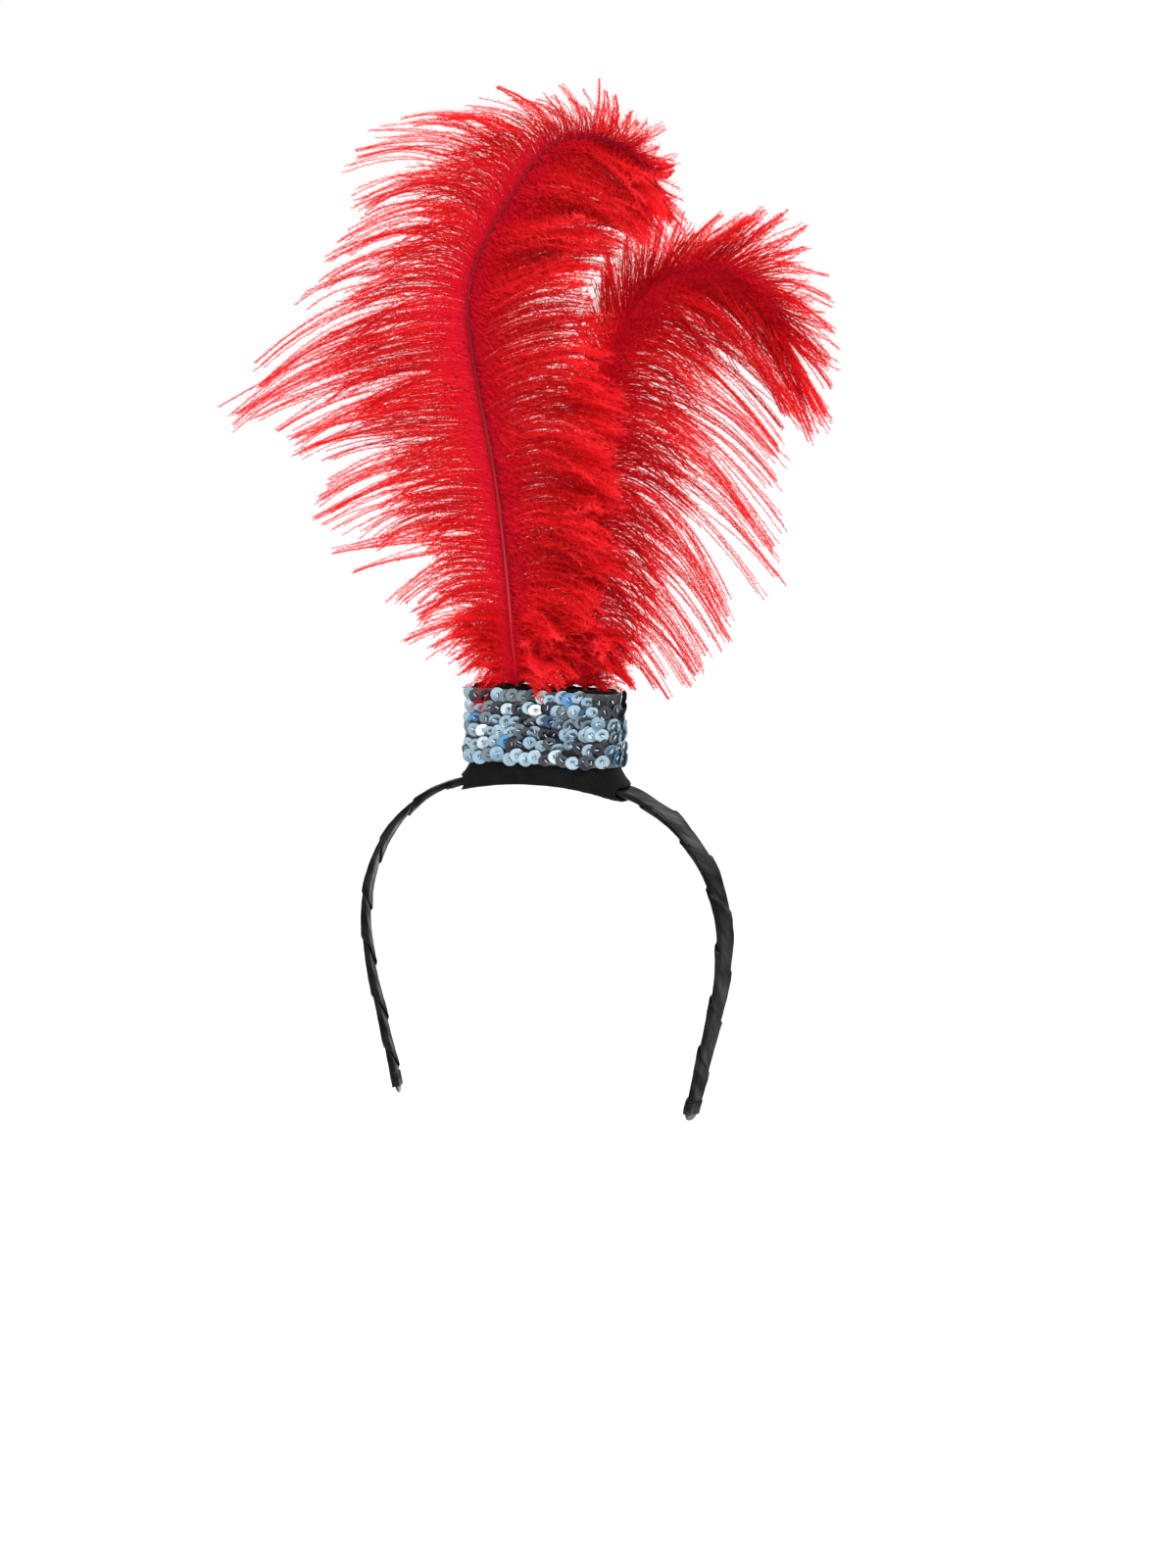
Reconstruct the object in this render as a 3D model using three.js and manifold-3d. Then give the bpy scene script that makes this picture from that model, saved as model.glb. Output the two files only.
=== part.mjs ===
// Flapper headband: a hoop wound with satin ribbon, a felt holder with a sequin trim, and two plumes.
// Millimetres, +Z up, the wearer faces -Y. The origin is under the felt at the crown, where it sits on the
// head.
import * as THREE from "three";
import { mergeVertices } from "three/addons/utils/BufferGeometryUtils.js";
import Module from "manifold-3d";

const wasm = await Module();
wasm.setup();

// Driving sizes of the hoop: a hard core that follows four stretches from the crown to each tip.
const crownRadius = 141;
const shoulderRadius = 58.5;
const sideRadius = 110;
const tipLength = 44;
const crownTurnDegrees = 14;
const tipLeanDegrees = 14;
const coreThickness = 1.3;
const coreCrownWidth = 10;
const coreTipWidth = 7;
const bareTip = 3;
const sideTwistDegrees = 14;
const edgeEaseShare = 0.3;
const coreStationStep = 11;

// Driving sizes of the satin ribbon wound round the hoop.
const ribbonThickness = 0.45;
const ribbonOverlap = 0.4;
const windingPitch = 22;
const windingSlant = 9;

// Driving sizes of the felt holder that stands on the crown.
const feltThickness = 1.2;
const holderWidth = 61;
const holderHeight = 38.5;
const holderShift = 1.5;
const holderTopDepth = 9.6;
const holderSkirtWidth = 72;
const holderCornerShare = 0.8;
const pocketEase = 0.3;

// Driving sizes of the sequin trim round the holder.
const trimBase = 8.5;
const trimHeight = 28.5;
const trimBacking = 0.8;
const sequinDiameter = 6;
const sequinRows = 5;
const sequinColumns = 30;
const sequinSides = 6;
const sequinDropDegrees = 10;
const sequinTurnDegrees = 8;
const sequinStandOff = 0.7;
const sequinEdgeShare = 0.4;
const trimCornerSteps = 4;

// Driving sizes of the two plumes.
const tallPlumeLength = 274;
const tallPlumeSide = -9.8;
const sidePlumeLength = 222;
const sidePlumeSide = 17.9;
const shaftThickness = 3.2;
const shaftTipShare = 0.35;
const shaftStagger = 3.6;
const tallLeanShare = -0.06;
const sideLeanShare = 0.05;
const lockThickness = 2.4;
const lockSpacing = 11;
const bareShaftShare = 0.055;
const curlShare = 0.14;
const curlSpread = 0.1;
const curlStep = 2.3;
const vaneTipShare = 0.4;

// The gap that keeps neighbouring pieces apart.
const clearance = 0.3;

const radians = THREE.MathUtils.degToRad;
const satinBlack = new THREE.MeshStandardMaterial({ color: "#17171b", roughness: 0.35, metalness: 0 });
const plasticBlack = new THREE.MeshStandardMaterial({ color: "#0c0c0e", roughness: 0.25, metalness: 0 });
const feltBlack = new THREE.MeshStandardMaterial({ color: "#121214", roughness: 0.95, metalness: 0 });
const sequinSilver = new THREE.MeshStandardMaterial({ color: "#8d9dac", roughness: 0.25, metalness: 0.9 });
const plumeRed = new THREE.MeshStandardMaterial({ color: "#c91d26", roughness: 0.85, metalness: 0 });

// A geometry from points and the triangles between them.
function indexed(points, triangles) {
  const geometry = new THREE.BufferGeometry();
  const coordinates = points.flatMap(({ x, y, z }) => [x, y, z]);
  geometry.setAttribute("position", new THREE.Float32BufferAttribute(coordinates, 3));
  geometry.setIndex(triangles);
  return geometry;
}

// A closed skin over rings that all have the same number of points, capped by flat fans.
// The rings run anticlockwise as seen from the end that they head for.
function loft(rings) {
  const count = rings[0].length;
  const triangles = [];
  for (let ring = 0; ring < rings.length - 1; ring += 1) {
    for (let index = 0; index < count; index += 1) {
      const here = ring * count + index;
      const beside = ring * count + ((index + 1) % count);
      triangles.push(here, beside, beside + count, here, beside + count, here + count);
    }
  }
  const last = (rings.length - 1) * count;
  for (let index = 1; index < count - 1; index += 1) {
    triangles.push(0, index + 1, index);
    triangles.push(last, last + index, last + index + 1);
  }
  return indexed(rings.flat(), triangles);
}

// Vertices closer than this are one vertex.
const smallestEdge = 1e-3;

// Turns a closed geometry into a solid for joins and cuts.
function solid(geometry) {
  const bare = geometry.clone();
  bare.deleteAttribute("normal");
  bare.deleteAttribute("uv");
  const merged = mergeVertices(bare, smallestEdge);
  return new wasm.Manifold(new wasm.Mesh({
    numProp: 3,
    vertProperties: new Float32Array(merged.attributes.position.array),
    triVerts: new Uint32Array(merged.index.array),
  }));
}

// The geometry of a solid.
function geometryOf(body) {
  const mesh = body.getMesh();
  const geometry = new THREE.BufferGeometry();
  geometry.setAttribute("position", new THREE.Float32BufferAttribute(mesh.vertProperties, 3));
  geometry.setIndex(Array.from(mesh.triVerts));
  return geometry;
}

// Gives a solid back as a named mesh.
function piece(name, body, material) {
  const result = new THREE.Mesh(geometryOf(body), material);
  result.name = name;
  return result;
}

// Joins solids into one and fills the sealed pockets that are left between them.
function joined(bodies) {
  const shells = solid(geometryOf(wasm.Manifold.union(bodies))).decompose();
  return wasm.Manifold.union(shells.filter((shell) => shell.volume() > 0));
}

// Linear interpolation in a table by its `at` column.
function fromTable(table, at, column) {
  const next = table.findIndex((row) => row.at >= at);
  if (next === -1) return table[table.length - 1][column];
  if (next === 0) return table[0][column];
  const low = table[next - 1];
  const high = table[next];
  return THREE.MathUtils.lerp(low[column], high[column], (at - low.at) / (high.at - low.at));
}

// The hoop's centre line, walked from the crown to one tip.
const bandHalfThickness = coreThickness / 2 + clearance + ribbonThickness + ribbonOverlap;
const crownHeight = feltThickness + clearance + bandHalfThickness;
const hoopStretches = [
  { radius: crownRadius, turn: radians(crownTurnDegrees) },
  { radius: shoulderRadius, turn: radians(90 - crownTurnDegrees) },
  { radius: sideRadius, turn: radians(tipLeanDegrees) },
];
const curvedLength = hoopStretches.reduce((sum, stretch) => sum + stretch.radius * stretch.turn, 0);
const halfLength = curvedLength + tipLength;

// Centre, outward normal and width direction of the hoop at a signed distance from the crown. The outer
// face turns a little forward on its way down to the side.
function hoopFrame(distance) {
  const hand = distance < 0 ? -1 : 1;
  let left = Math.abs(distance);
  let heading = 0;
  let x = 0;
  let z = crownHeight;
  for (const { radius, turn } of hoopStretches) {
    const walked = Math.min(left, radius * turn);
    const end = heading + walked / radius;
    x += radius * (Math.sin(end) - Math.sin(heading));
    z -= radius * (Math.cos(heading) - Math.cos(end));
    heading = end;
    left -= walked;
  }
  x += left * Math.cos(heading);
  z -= left * Math.sin(heading);
  const twist = radians(sideTwistDegrees) * Math.min(1, heading / (Math.PI / 2));
  const flatOut = new THREE.Vector3(hand * Math.sin(heading), 0, Math.cos(heading));
  const across = new THREE.Vector3(0, 1, 0);
  return {
    centre: new THREE.Vector3(hand * x, 0, z),
    out: flatOut.clone().multiplyScalar(Math.cos(twist)).addScaledVector(across, -Math.sin(twist)),
    wide: across.clone().multiplyScalar(Math.cos(twist)).addScaledVector(flatOut, Math.sin(twist)),
  };
}

// Width of the core at a distance from the crown.
function coreWidth(distance) {
  return THREE.MathUtils.lerp(coreCrownWidth, coreTipWidth, Math.min(1, Math.abs(distance) / halfLength));
}

// One section of the hoop or of what wraps it: a flat bar with eased edges, slanted along the band.
function barSection(distance, { width, outside, inside, slant = 0 }) {
  const ease = (outside + inside) * edgeEaseShare;
  const half = width / 2;
  const corners = [
    [-half, -inside + ease], [-half + ease, -inside], [half - ease, -inside], [half, -inside + ease],
    [half, outside - ease], [half - ease, outside], [-half + ease, outside], [-half, outside - ease],
  ];
  return corners.map(([wide, out]) => {
    const frame = hoopFrame(distance + (slant * wide) / coreCrownWidth);
    return frame.centre.clone().addScaledVector(frame.wide, wide).addScaledVector(frame.out, out);
  });
}

// Evenly spaced distances along the hoop.
function hoopDistances(from, to, step) {
  const count = Math.max(1, Math.round((to - from) / step));
  return Array.from({ length: count + 1 }, (_, index) => THREE.MathUtils.lerp(from, to, index / count));
}

// Where the core's sections lie between its bare tips.
const coreDistances = hoopDistances(-halfLength, halfLength, coreStationStep);

// A bar that follows the hoop through the distances given, grown on every side by the same amount.
function hoopBar(distances, grow) {
  return loft(distances.map((distance) => barSection(distance, {
    width: coreWidth(distance) + 2 * grow,
    outside: coreThickness / 2 + grow,
    inside: coreThickness / 2 + grow,
  })));
}

// How the bare tips round off: share of the bare tip, and share of the core's width there.
const tipRows = [
  { past: 0.4, narrow: 0.96 },
  { past: 0.8, narrow: 0.75 },
  { past: 1, narrow: 0.4 },
];

// The plastic core, whose bare tips round off past the ribbon.
function buildHoop() {
  const bar = (distance, narrow) => barSection(distance, {
    width: coreWidth(distance) * narrow,
    outside: coreThickness / 2,
    inside: coreThickness / 2,
  });
  const start = tipRows.map(({ past, narrow }) => bar(-halfLength - past * bareTip, narrow)).reverse();
  const end = tipRows.map(({ past, narrow }) => bar(halfLength + past * bareTip, narrow));
  return solid(loft([...start, ...coreDistances.map((distance) => bar(distance, 1)), ...end]));
}

// One turn of the ribbon: share of its pitch, and how much of the lap over the turn before is left there.
const lapRows = [
  { at: 0, lap: 1 },
  { at: 0.46, lap: 0.6 },
  { at: 0.93, lap: 0 },
];

// The ribbon: a sleeve wound at a slant, each turn lapping over the one before it on the outer face.
function buildRibbon() {
  const turns = Math.round((2 * halfLength) / windingPitch);
  const pitch = (2 * halfLength) / turns;
  const rings = [];
  for (let turn = 0; turn < turns; turn += 1) {
    for (const { at, lap } of lapRows) {
      const distance = -halfLength + (turn + at) * pitch;
      const edge = Math.min(1, (halfLength - Math.abs(distance)) / pitch);
      rings.push(barSection(distance, {
        width: coreWidth(distance) + 2 * (clearance + ribbonThickness) + ribbonOverlap * lap,
        outside: coreThickness / 2 + clearance + ribbonThickness + ribbonOverlap * lap,
        inside: coreThickness / 2 + clearance + ribbonThickness,
        slant: windingSlant * edge,
      }));
    }
  }
  rings.push(barSection(halfLength, {
    width: coreWidth(halfLength) + 2 * (clearance + ribbonThickness),
    outside: coreThickness / 2 + clearance + ribbonThickness,
    inside: coreThickness / 2 + clearance + ribbonThickness,
  }));
  const pastTip = halfLength + 2 * bareTip;
  const channel = hoopBar([-pastTip, ...coreDistances, pastTip], clearance);
  return solid(loft(rings)).subtract(solid(channel));
}

// The outer outline of the holder, from its skirt that hugs the band up to its rim: share of its height,
// share of the skirt's extra width, and share of the way from the rim's depth to the base's.
const bandWidthAtCrown = coreCrownWidth + 2 * (clearance + ribbonThickness) + ribbonOverlap;
const holderBaseDepth = bandWidthAtCrown + 2 * (clearance + feltThickness);
const bandTop = crownHeight + bandHalfThickness;
const holderStations = [
  { at: -0.25, flare: 1, depth: 1 },
  { at: 0.05, flare: 1, depth: 1 },
  { at: 0.1, flare: 0.62, depth: 0.97 },
  { at: 0.18, flare: 0.28, depth: 0.85 },
  { at: 0.3, flare: 0.06, depth: 0.62 },
  { at: 0.6, flare: 0, depth: 0.25 },
  { at: 1, flare: 0, depth: 0 },
];

// Half width and half depth of the holder at a height.
function holderHalf(height) {
  const at = height / holderHeight;
  const flare = fromTable(holderStations, at, "flare");
  const depth = fromTable(holderStations, at, "depth");
  return {
    x: THREE.MathUtils.lerp(holderWidth, holderSkirtWidth, flare) / 2,
    y: THREE.MathUtils.lerp(holderTopDepth, holderBaseDepth, depth) / 2,
  };
}

// A level rounded outline round the holder at a height, grown or shrunk by an amount.
function holderRing(height, grow, cornerSteps = 3) {
  const half = holderHalf(height);
  const round = half.y * holderCornerShare + Math.min(grow, 0);
  const ring = [];
  const quarters = [{ x: 1, y: -1 }, { x: 1, y: 1 }, { x: -1, y: 1 }, { x: -1, y: -1 }];
  quarters.forEach((corner, quarter) => {
    for (let step = 0; step <= cornerSteps; step += 1) {
      const angle = (Math.PI / 2) * (quarter - 1 + step / cornerSteps);
      const centreX = corner.x * (half.x - round);
      const centreY = corner.y * (half.y - round);
      ring.push(new THREE.Vector3(
        holderShift + centreX + (round + grow) * Math.cos(angle),
        centreY + (round + grow) * Math.sin(angle),
        height,
      ));
    }
  });
  return ring;
}

// The holder: felt that wraps under the band and stands up round an open pocket.
function buildHolder() {
  const outer = loft(holderStations.map(({ at }) => holderRing(at * holderHeight, 0)));
  const pocketFloor = feltThickness + clearance + ribbonThickness;
  const pocketRows = [pocketFloor, ...holderStations.map(({ at }) => at * holderHeight)
    .filter((height) => height > bandTop), holderHeight + feltThickness];
  const pocket = loft(pocketRows.map((height) => {
    const mouth = Math.max(height, bandTop);
    return holderRing(mouth, -feltThickness - (height < bandTop ? pocketEase : 0))
      .map((point) => new THREE.Vector3(point.x, point.y, height));
  }));
  const underHolder = hoopDistances(-holderSkirtWidth, holderSkirtWidth, coreStationStep);
  const tunnel = hoopBar(underHolder, clearance + ribbonThickness + ribbonOverlap + clearance);
  const head = underHolder.map((distance) => {
    const { centre, out } = hoopFrame(distance);
    const flat = new THREE.Vector3(out.x, 0, out.z).normalize();
    return centre.clone().addScaledVector(flat, -crownHeight);
  });
  const outline = new THREE.Shape(head.map((point) => new THREE.Vector2(point.x, point.z)));
  outline.lineTo(head[head.length - 1].x, -2 * holderHeight);
  outline.lineTo(head[0].x, -2 * holderHeight);
  outline.closePath();
  const depth = 2 * holderBaseDepth;
  const headRoom = new THREE.ExtrudeGeometry(outline, { depth, bevelEnabled: false, steps: 1 });
  headRoom.rotateX(Math.PI / 2);
  headRoom.translate(0, depth / 2, 0);
  return solid(outer).subtract(solid(pocket)).subtract(solid(tunnel)).subtract(solid(headRoom));
}

// One cup sequin: a thin rim that closes to a point in the backing, its flat face along the normal.
function sequin(centre, normal) {
  const cone = new THREE.ConeGeometry(sequinDiameter / 2, 2 * sequinStandOff, sequinSides);
  cone.translate(0, sequinStandOff, 0);
  cone.applyQuaternion(new THREE.Quaternion().setFromUnitVectors(new THREE.Vector3(0, -1, 0), normal));
  cone.translate(centre.x, centre.y, centre.z);
  return solid(cone);
}

// A place on the trim's outer face: share of the way round, and height.
function trimPlace(share, height) {
  const ring = holderRing(height, clearance + trimBacking, trimCornerSteps);
  const above = holderRing(height + sequinDiameter, clearance + trimBacking, trimCornerSteps);
  const lengths = ring.map((point, index) => point.distanceTo(ring[(index + 1) % ring.length]));
  let left = share * lengths.reduce((sum, length) => sum + length, 0);
  let index = 0;
  while (index < ring.length - 1 && left > lengths[index]) {
    left -= lengths[index];
    index += 1;
  }
  const next = (index + 1) % ring.length;
  const along = ring[next].clone().sub(ring[index]).normalize();
  const point = ring[index].clone().addScaledVector(along, left);
  const up = above[index].clone().sub(ring[index]).normalize();
  return { point, up, out: new THREE.Vector3().crossVectors(along, up).normalize() };
}

// The sequin trim: a backing sleeve with rows of sequins that lap downwards like scales.
function buildTrim() {
  const heights = [0, 1 / 3, 2 / 3, 1].map((at) => trimBase + at * trimHeight);
  const sleeveRings = heights.map((height) => holderRing(height, clearance + trimBacking, trimCornerSteps));
  const boreRings = heights.map((height) => holderRing(height, clearance, trimCornerSteps));
  const below = boreRings[0].map((point) => point.clone().setZ(trimBase - sequinDiameter));
  const above = boreRings[boreRings.length - 1].map((point) =>
    point.clone().setZ(trimBase + trimHeight + sequinDiameter));
  const bore = solid(loft([below, ...boreRings, above]));
  const edgeRow = sequinDiameter * sequinEdgeShare;
  const rowPitch = (trimHeight - 2 * edgeRow) / (sequinRows - 1);
  const sequins = [];
  for (let row = 0; row < sequinRows; row += 1) {
    for (let column = 0; column < sequinColumns; column += 1) {
      const share = ((column + (row % 2) / 2) / sequinColumns) % 1;
      const place = trimPlace(share, trimBase + edgeRow + row * rowPitch);
      const along = new THREE.Vector3().crossVectors(place.up, place.out).normalize();
      const normal = place.out.clone()
        .applyAxisAngle(along, radians(-sequinDropDegrees))
        .applyAxisAngle(place.up, radians(sequinTurnDegrees));
      const centre = place.point.clone().addScaledVector(place.out, sequinStandOff);
      sequins.push(sequin(centre, normal));
    }
  }
  return joined([solid(loft(sleeveRings)), ...sequins]).subtract(bore);
}

// Shaft and barb tables. Shares of the plume's length; angles in degrees in the plane of the plume,
// anticlockwise from +X. `reach` is how far a barb's tip lies from its root, `aim` is the way there,
// `leave` is the angle between the shaft and the barb where it leaves, `lift` how long it keeps that.
const tallShaft = [
  { at: 0, side: 0, rise: 0 },
  { at: 0.085, side: -0.006, rise: 0.085 },
  { at: 0.19, side: -0.016, rise: 0.19 },
  { at: 0.31, side: -0.031, rise: 0.309 },
  { at: 0.41, side: -0.05, rise: 0.406 },
  { at: 0.494, side: -0.063, rise: 0.49 },
  { at: 0.557, side: -0.065, rise: 0.552 },
  { at: 0.607, side: -0.051, rise: 0.601 },
  { at: 0.663, side: -0.024, rise: 0.649 },
  { at: 0.722, side: 0.011, rise: 0.697 },
  { at: 0.778, side: 0.045, rise: 0.741 },
  { at: 0.822, side: 0.079, rise: 0.768 },
  { at: 0.877, side: 0.133, rise: 0.779 },
  { at: 0.942, side: 0.196, rise: 0.763 },
  { at: 1, side: 0.241, rise: 0.726 },
];
const tallLeft = [
  { at: 0, reach: 0.06, aim: 170, leave: 55, lift: 0.5 },
  { at: 0.08, reach: 0.13, aim: 178, leave: 55, lift: 0.45 },
  { at: 0.19, reach: 0.2, aim: 184, leave: 60, lift: 0.4 },
  { at: 0.31, reach: 0.27, aim: 186, leave: 65, lift: 0.4 },
  { at: 0.41, reach: 0.32, aim: 189, leave: 70, lift: 0.4 },
  { at: 0.49, reach: 0.38, aim: 192, leave: 72, lift: 0.4 },
  { at: 0.55, reach: 0.35, aim: 191, leave: 75, lift: 0.45 },
  { at: 0.59, reach: 0.24, aim: 180, leave: 60, lift: 0.5 },
  { at: 0.66, reach: 0.23, aim: 168, leave: 60, lift: 0.5 },
  { at: 0.73, reach: 0.22, aim: 153, leave: 60, lift: 0.5 },
  { at: 0.8, reach: 0.14, aim: 140, leave: 60, lift: 0.5 },
  { at: 0.88, reach: 0.08, aim: 80, leave: 45, lift: 0.4 },
  { at: 0.94, reach: 0.06, aim: 30, leave: 35, lift: 0.4 },
  { at: 1, reach: 0.05, aim: -20, leave: 20, lift: 0.4 },
];
const tallRight = [
  { at: 0, reach: 0.07, aim: 5, leave: 55, lift: 0.5 },
  { at: 0.08, reach: 0.14, aim: 0, leave: 55, lift: 0.45 },
  { at: 0.19, reach: 0.19, aim: 4, leave: 60, lift: 0.4 },
  { at: 0.31, reach: 0.22, aim: 6, leave: 60, lift: 0.4 },
  { at: 0.41, reach: 0.235, aim: 14, leave: 60, lift: 0.4 },
  { at: 0.49, reach: 0.236, aim: 19, leave: 55, lift: 0.4 },
  { at: 0.57, reach: 0.24, aim: 17, leave: 50, lift: 0.4 },
  { at: 0.66, reach: 0.24, aim: 5, leave: 45, lift: 0.4 },
  { at: 0.72, reach: 0.25, aim: -3, leave: 45, lift: 0.4 },
  { at: 0.78, reach: 0.24, aim: -9, leave: 35, lift: 0.4 },
  { at: 0.84, reach: 0.13, aim: -20, leave: 30, lift: 0.4 },
  { at: 0.9, reach: 0.06, aim: -30, leave: 35, lift: 0.4 },
  { at: 1, reach: 0.03, aim: -60, leave: 30, lift: 0.4 },
];
const sideShaft = [
  { at: 0, side: 0, rise: 0 },
  { at: 0.104, side: 0.005, rise: 0.104 },
  { at: 0.226, side: 0.012, rise: 0.225 },
  { at: 0.347, side: 0.02, rise: 0.346 },
  { at: 0.45, side: 0.027, rise: 0.449 },
  { at: 0.524, side: 0.037, rise: 0.522 },
  { at: 0.611, side: 0.055, rise: 0.608 },
  { at: 0.678, side: 0.089, rise: 0.666 },
  { at: 0.756, side: 0.148, rise: 0.717 },
  { at: 0.814, side: 0.203, rise: 0.731 },
  { at: 0.869, side: 0.258, rise: 0.725 },
  { at: 0.932, side: 0.311, rise: 0.69 },
  { at: 1, side: 0.345, rise: 0.632 },
];
const sideLeft = [
  { at: 0, reach: 0.05, aim: 175, leave: 45, lift: 0.5 },
  { at: 0.09, reach: 0.1, aim: 172, leave: 45, lift: 0.45 },
  { at: 0.23, reach: 0.14, aim: 166, leave: 45, lift: 0.4 },
  { at: 0.36, reach: 0.15, aim: 150, leave: 42, lift: 0.4 },
  { at: 0.51, reach: 0.14, aim: 126, leave: 35, lift: 0.4 },
  { at: 0.6, reach: 0.17, aim: 110, leave: 30, lift: 0.4 },
  { at: 0.65, reach: 0.19, aim: 96, leave: 32, lift: 0.4 },
  { at: 0.71, reach: 0.16, aim: 74, leave: 32, lift: 0.4 },
  { at: 0.77, reach: 0.145, aim: 50, leave: 32, lift: 0.4 },
  { at: 0.86, reach: 0.17, aim: 28, leave: 45, lift: 0.4 },
  { at: 0.93, reach: 0.15, aim: -15, leave: 40, lift: 0.4 },
  { at: 1, reach: 0.14, aim: -54, leave: 20, lift: 0.4 },
];
const sideRight = [
  { at: 0, reach: 0.06, aim: -10, leave: 50, lift: 0.45 },
  { at: 0.07, reach: 0.17, aim: -35, leave: 50, lift: 0.5 },
  { at: 0.14, reach: 0.27, aim: -41, leave: 50, lift: 0.45 },
  { at: 0.24, reach: 0.345, aim: -37, leave: 50, lift: 0.45 },
  { at: 0.34, reach: 0.375, aim: -32, leave: 50, lift: 0.45 },
  { at: 0.44, reach: 0.4, aim: -29, leave: 50, lift: 0.45 },
  { at: 0.52, reach: 0.385, aim: -25, leave: 50, lift: 0.45 },
  { at: 0.61, reach: 0.365, aim: -26, leave: 45, lift: 0.45 },
  { at: 0.68, reach: 0.33, aim: -31, leave: 40, lift: 0.45 },
  { at: 0.76, reach: 0.29, aim: -42, leave: 35, lift: 0.4 },
  { at: 0.83, reach: 0.2, aim: -51, leave: 30, lift: 0.35 },
  { at: 0.89, reach: 0.1, aim: -58, leave: 20, lift: 0.3 },
  { at: 1, reach: 0.05, aim: -67, leave: 16, lift: 0.35 },
];

// The stem of a plume from the pocket's rim up, leaning forward or back towards its tip.
function shaftPoint(plume, at) {
  return new THREE.Vector3(
    plume.side + plume.length * fromTable(plume.shaft, at, "side"),
    plume.depth + plume.length * plume.lean * at * at,
    holderHeight + plume.length * fromTable(plume.shaft, at, "rise"),
  );
}

// The angle of the shaft at a share of its length.
function shaftAngle(plume, at) {
  const step = 0.03;
  const before = shaftPoint(plume, Math.max(0, at - step));
  const after = shaftPoint(plume, Math.min(1, at + step));
  return Math.atan2(after.z - before.z, after.x - before.x);
}

// Half the thickness of the shaft at a share of its length.
function shaftRadius(at) {
  return (shaftThickness / 2) * THREE.MathUtils.lerp(1, shaftTipShare, at);
}

// Six points round the shaft, the first at its front.
function shaftRing(plume, at) {
  const centre = shaftPoint(plume, at);
  const angle = shaftAngle(plume, at) - Math.PI / 2;
  return [0, 1, 2, 3, 4, 5].map((step) => {
    const turn = (step * Math.PI) / 3;
    const side = shaftRadius(at) * Math.sin(turn);
    return new THREE.Vector3(
      centre.x + side * Math.cos(angle),
      centre.y - shaftRadius(at) * Math.cos(turn),
      centre.z + side * Math.sin(angle),
    );
  });
}

// The line of one barb or lock. Its tip curls out of the plume's plane by the share `curl` of its reach.
function barbCurve(plume, table, hand, at, curl) {
  const root = shaftPoint(plume, at);
  const reach = plume.length * fromTable(table, at, "reach");
  const aim = radians(fromTable(table, at, "aim"));
  const leave = shaftAngle(plume, at) + hand * radians(fromTable(table, at, "leave"));
  const lift = reach * fromTable(table, at, "lift");
  const bend = root.clone().add(new THREE.Vector3(Math.cos(leave) * lift, 0, Math.sin(leave) * lift));
  const tip = root.clone().add(new THREE.Vector3(Math.cos(aim) * reach, curl * reach, Math.sin(aim) * reach));
  return new THREE.QuadraticBezierCurve3(root, bend, tip);
}

// Where the stations of a lock lie along it. Up to `split` it is one vane with its neighbours, and past
// that its edges close in on its tip by `close`.
const lockRows = [
  { along: 0.26, close: 0 },
  { along: 0.56, close: 0 },
  { along: 0.78, close: 0.22 },
  { along: 0.93, close: 0.58 },
];
const splitRow = 1;

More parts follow.
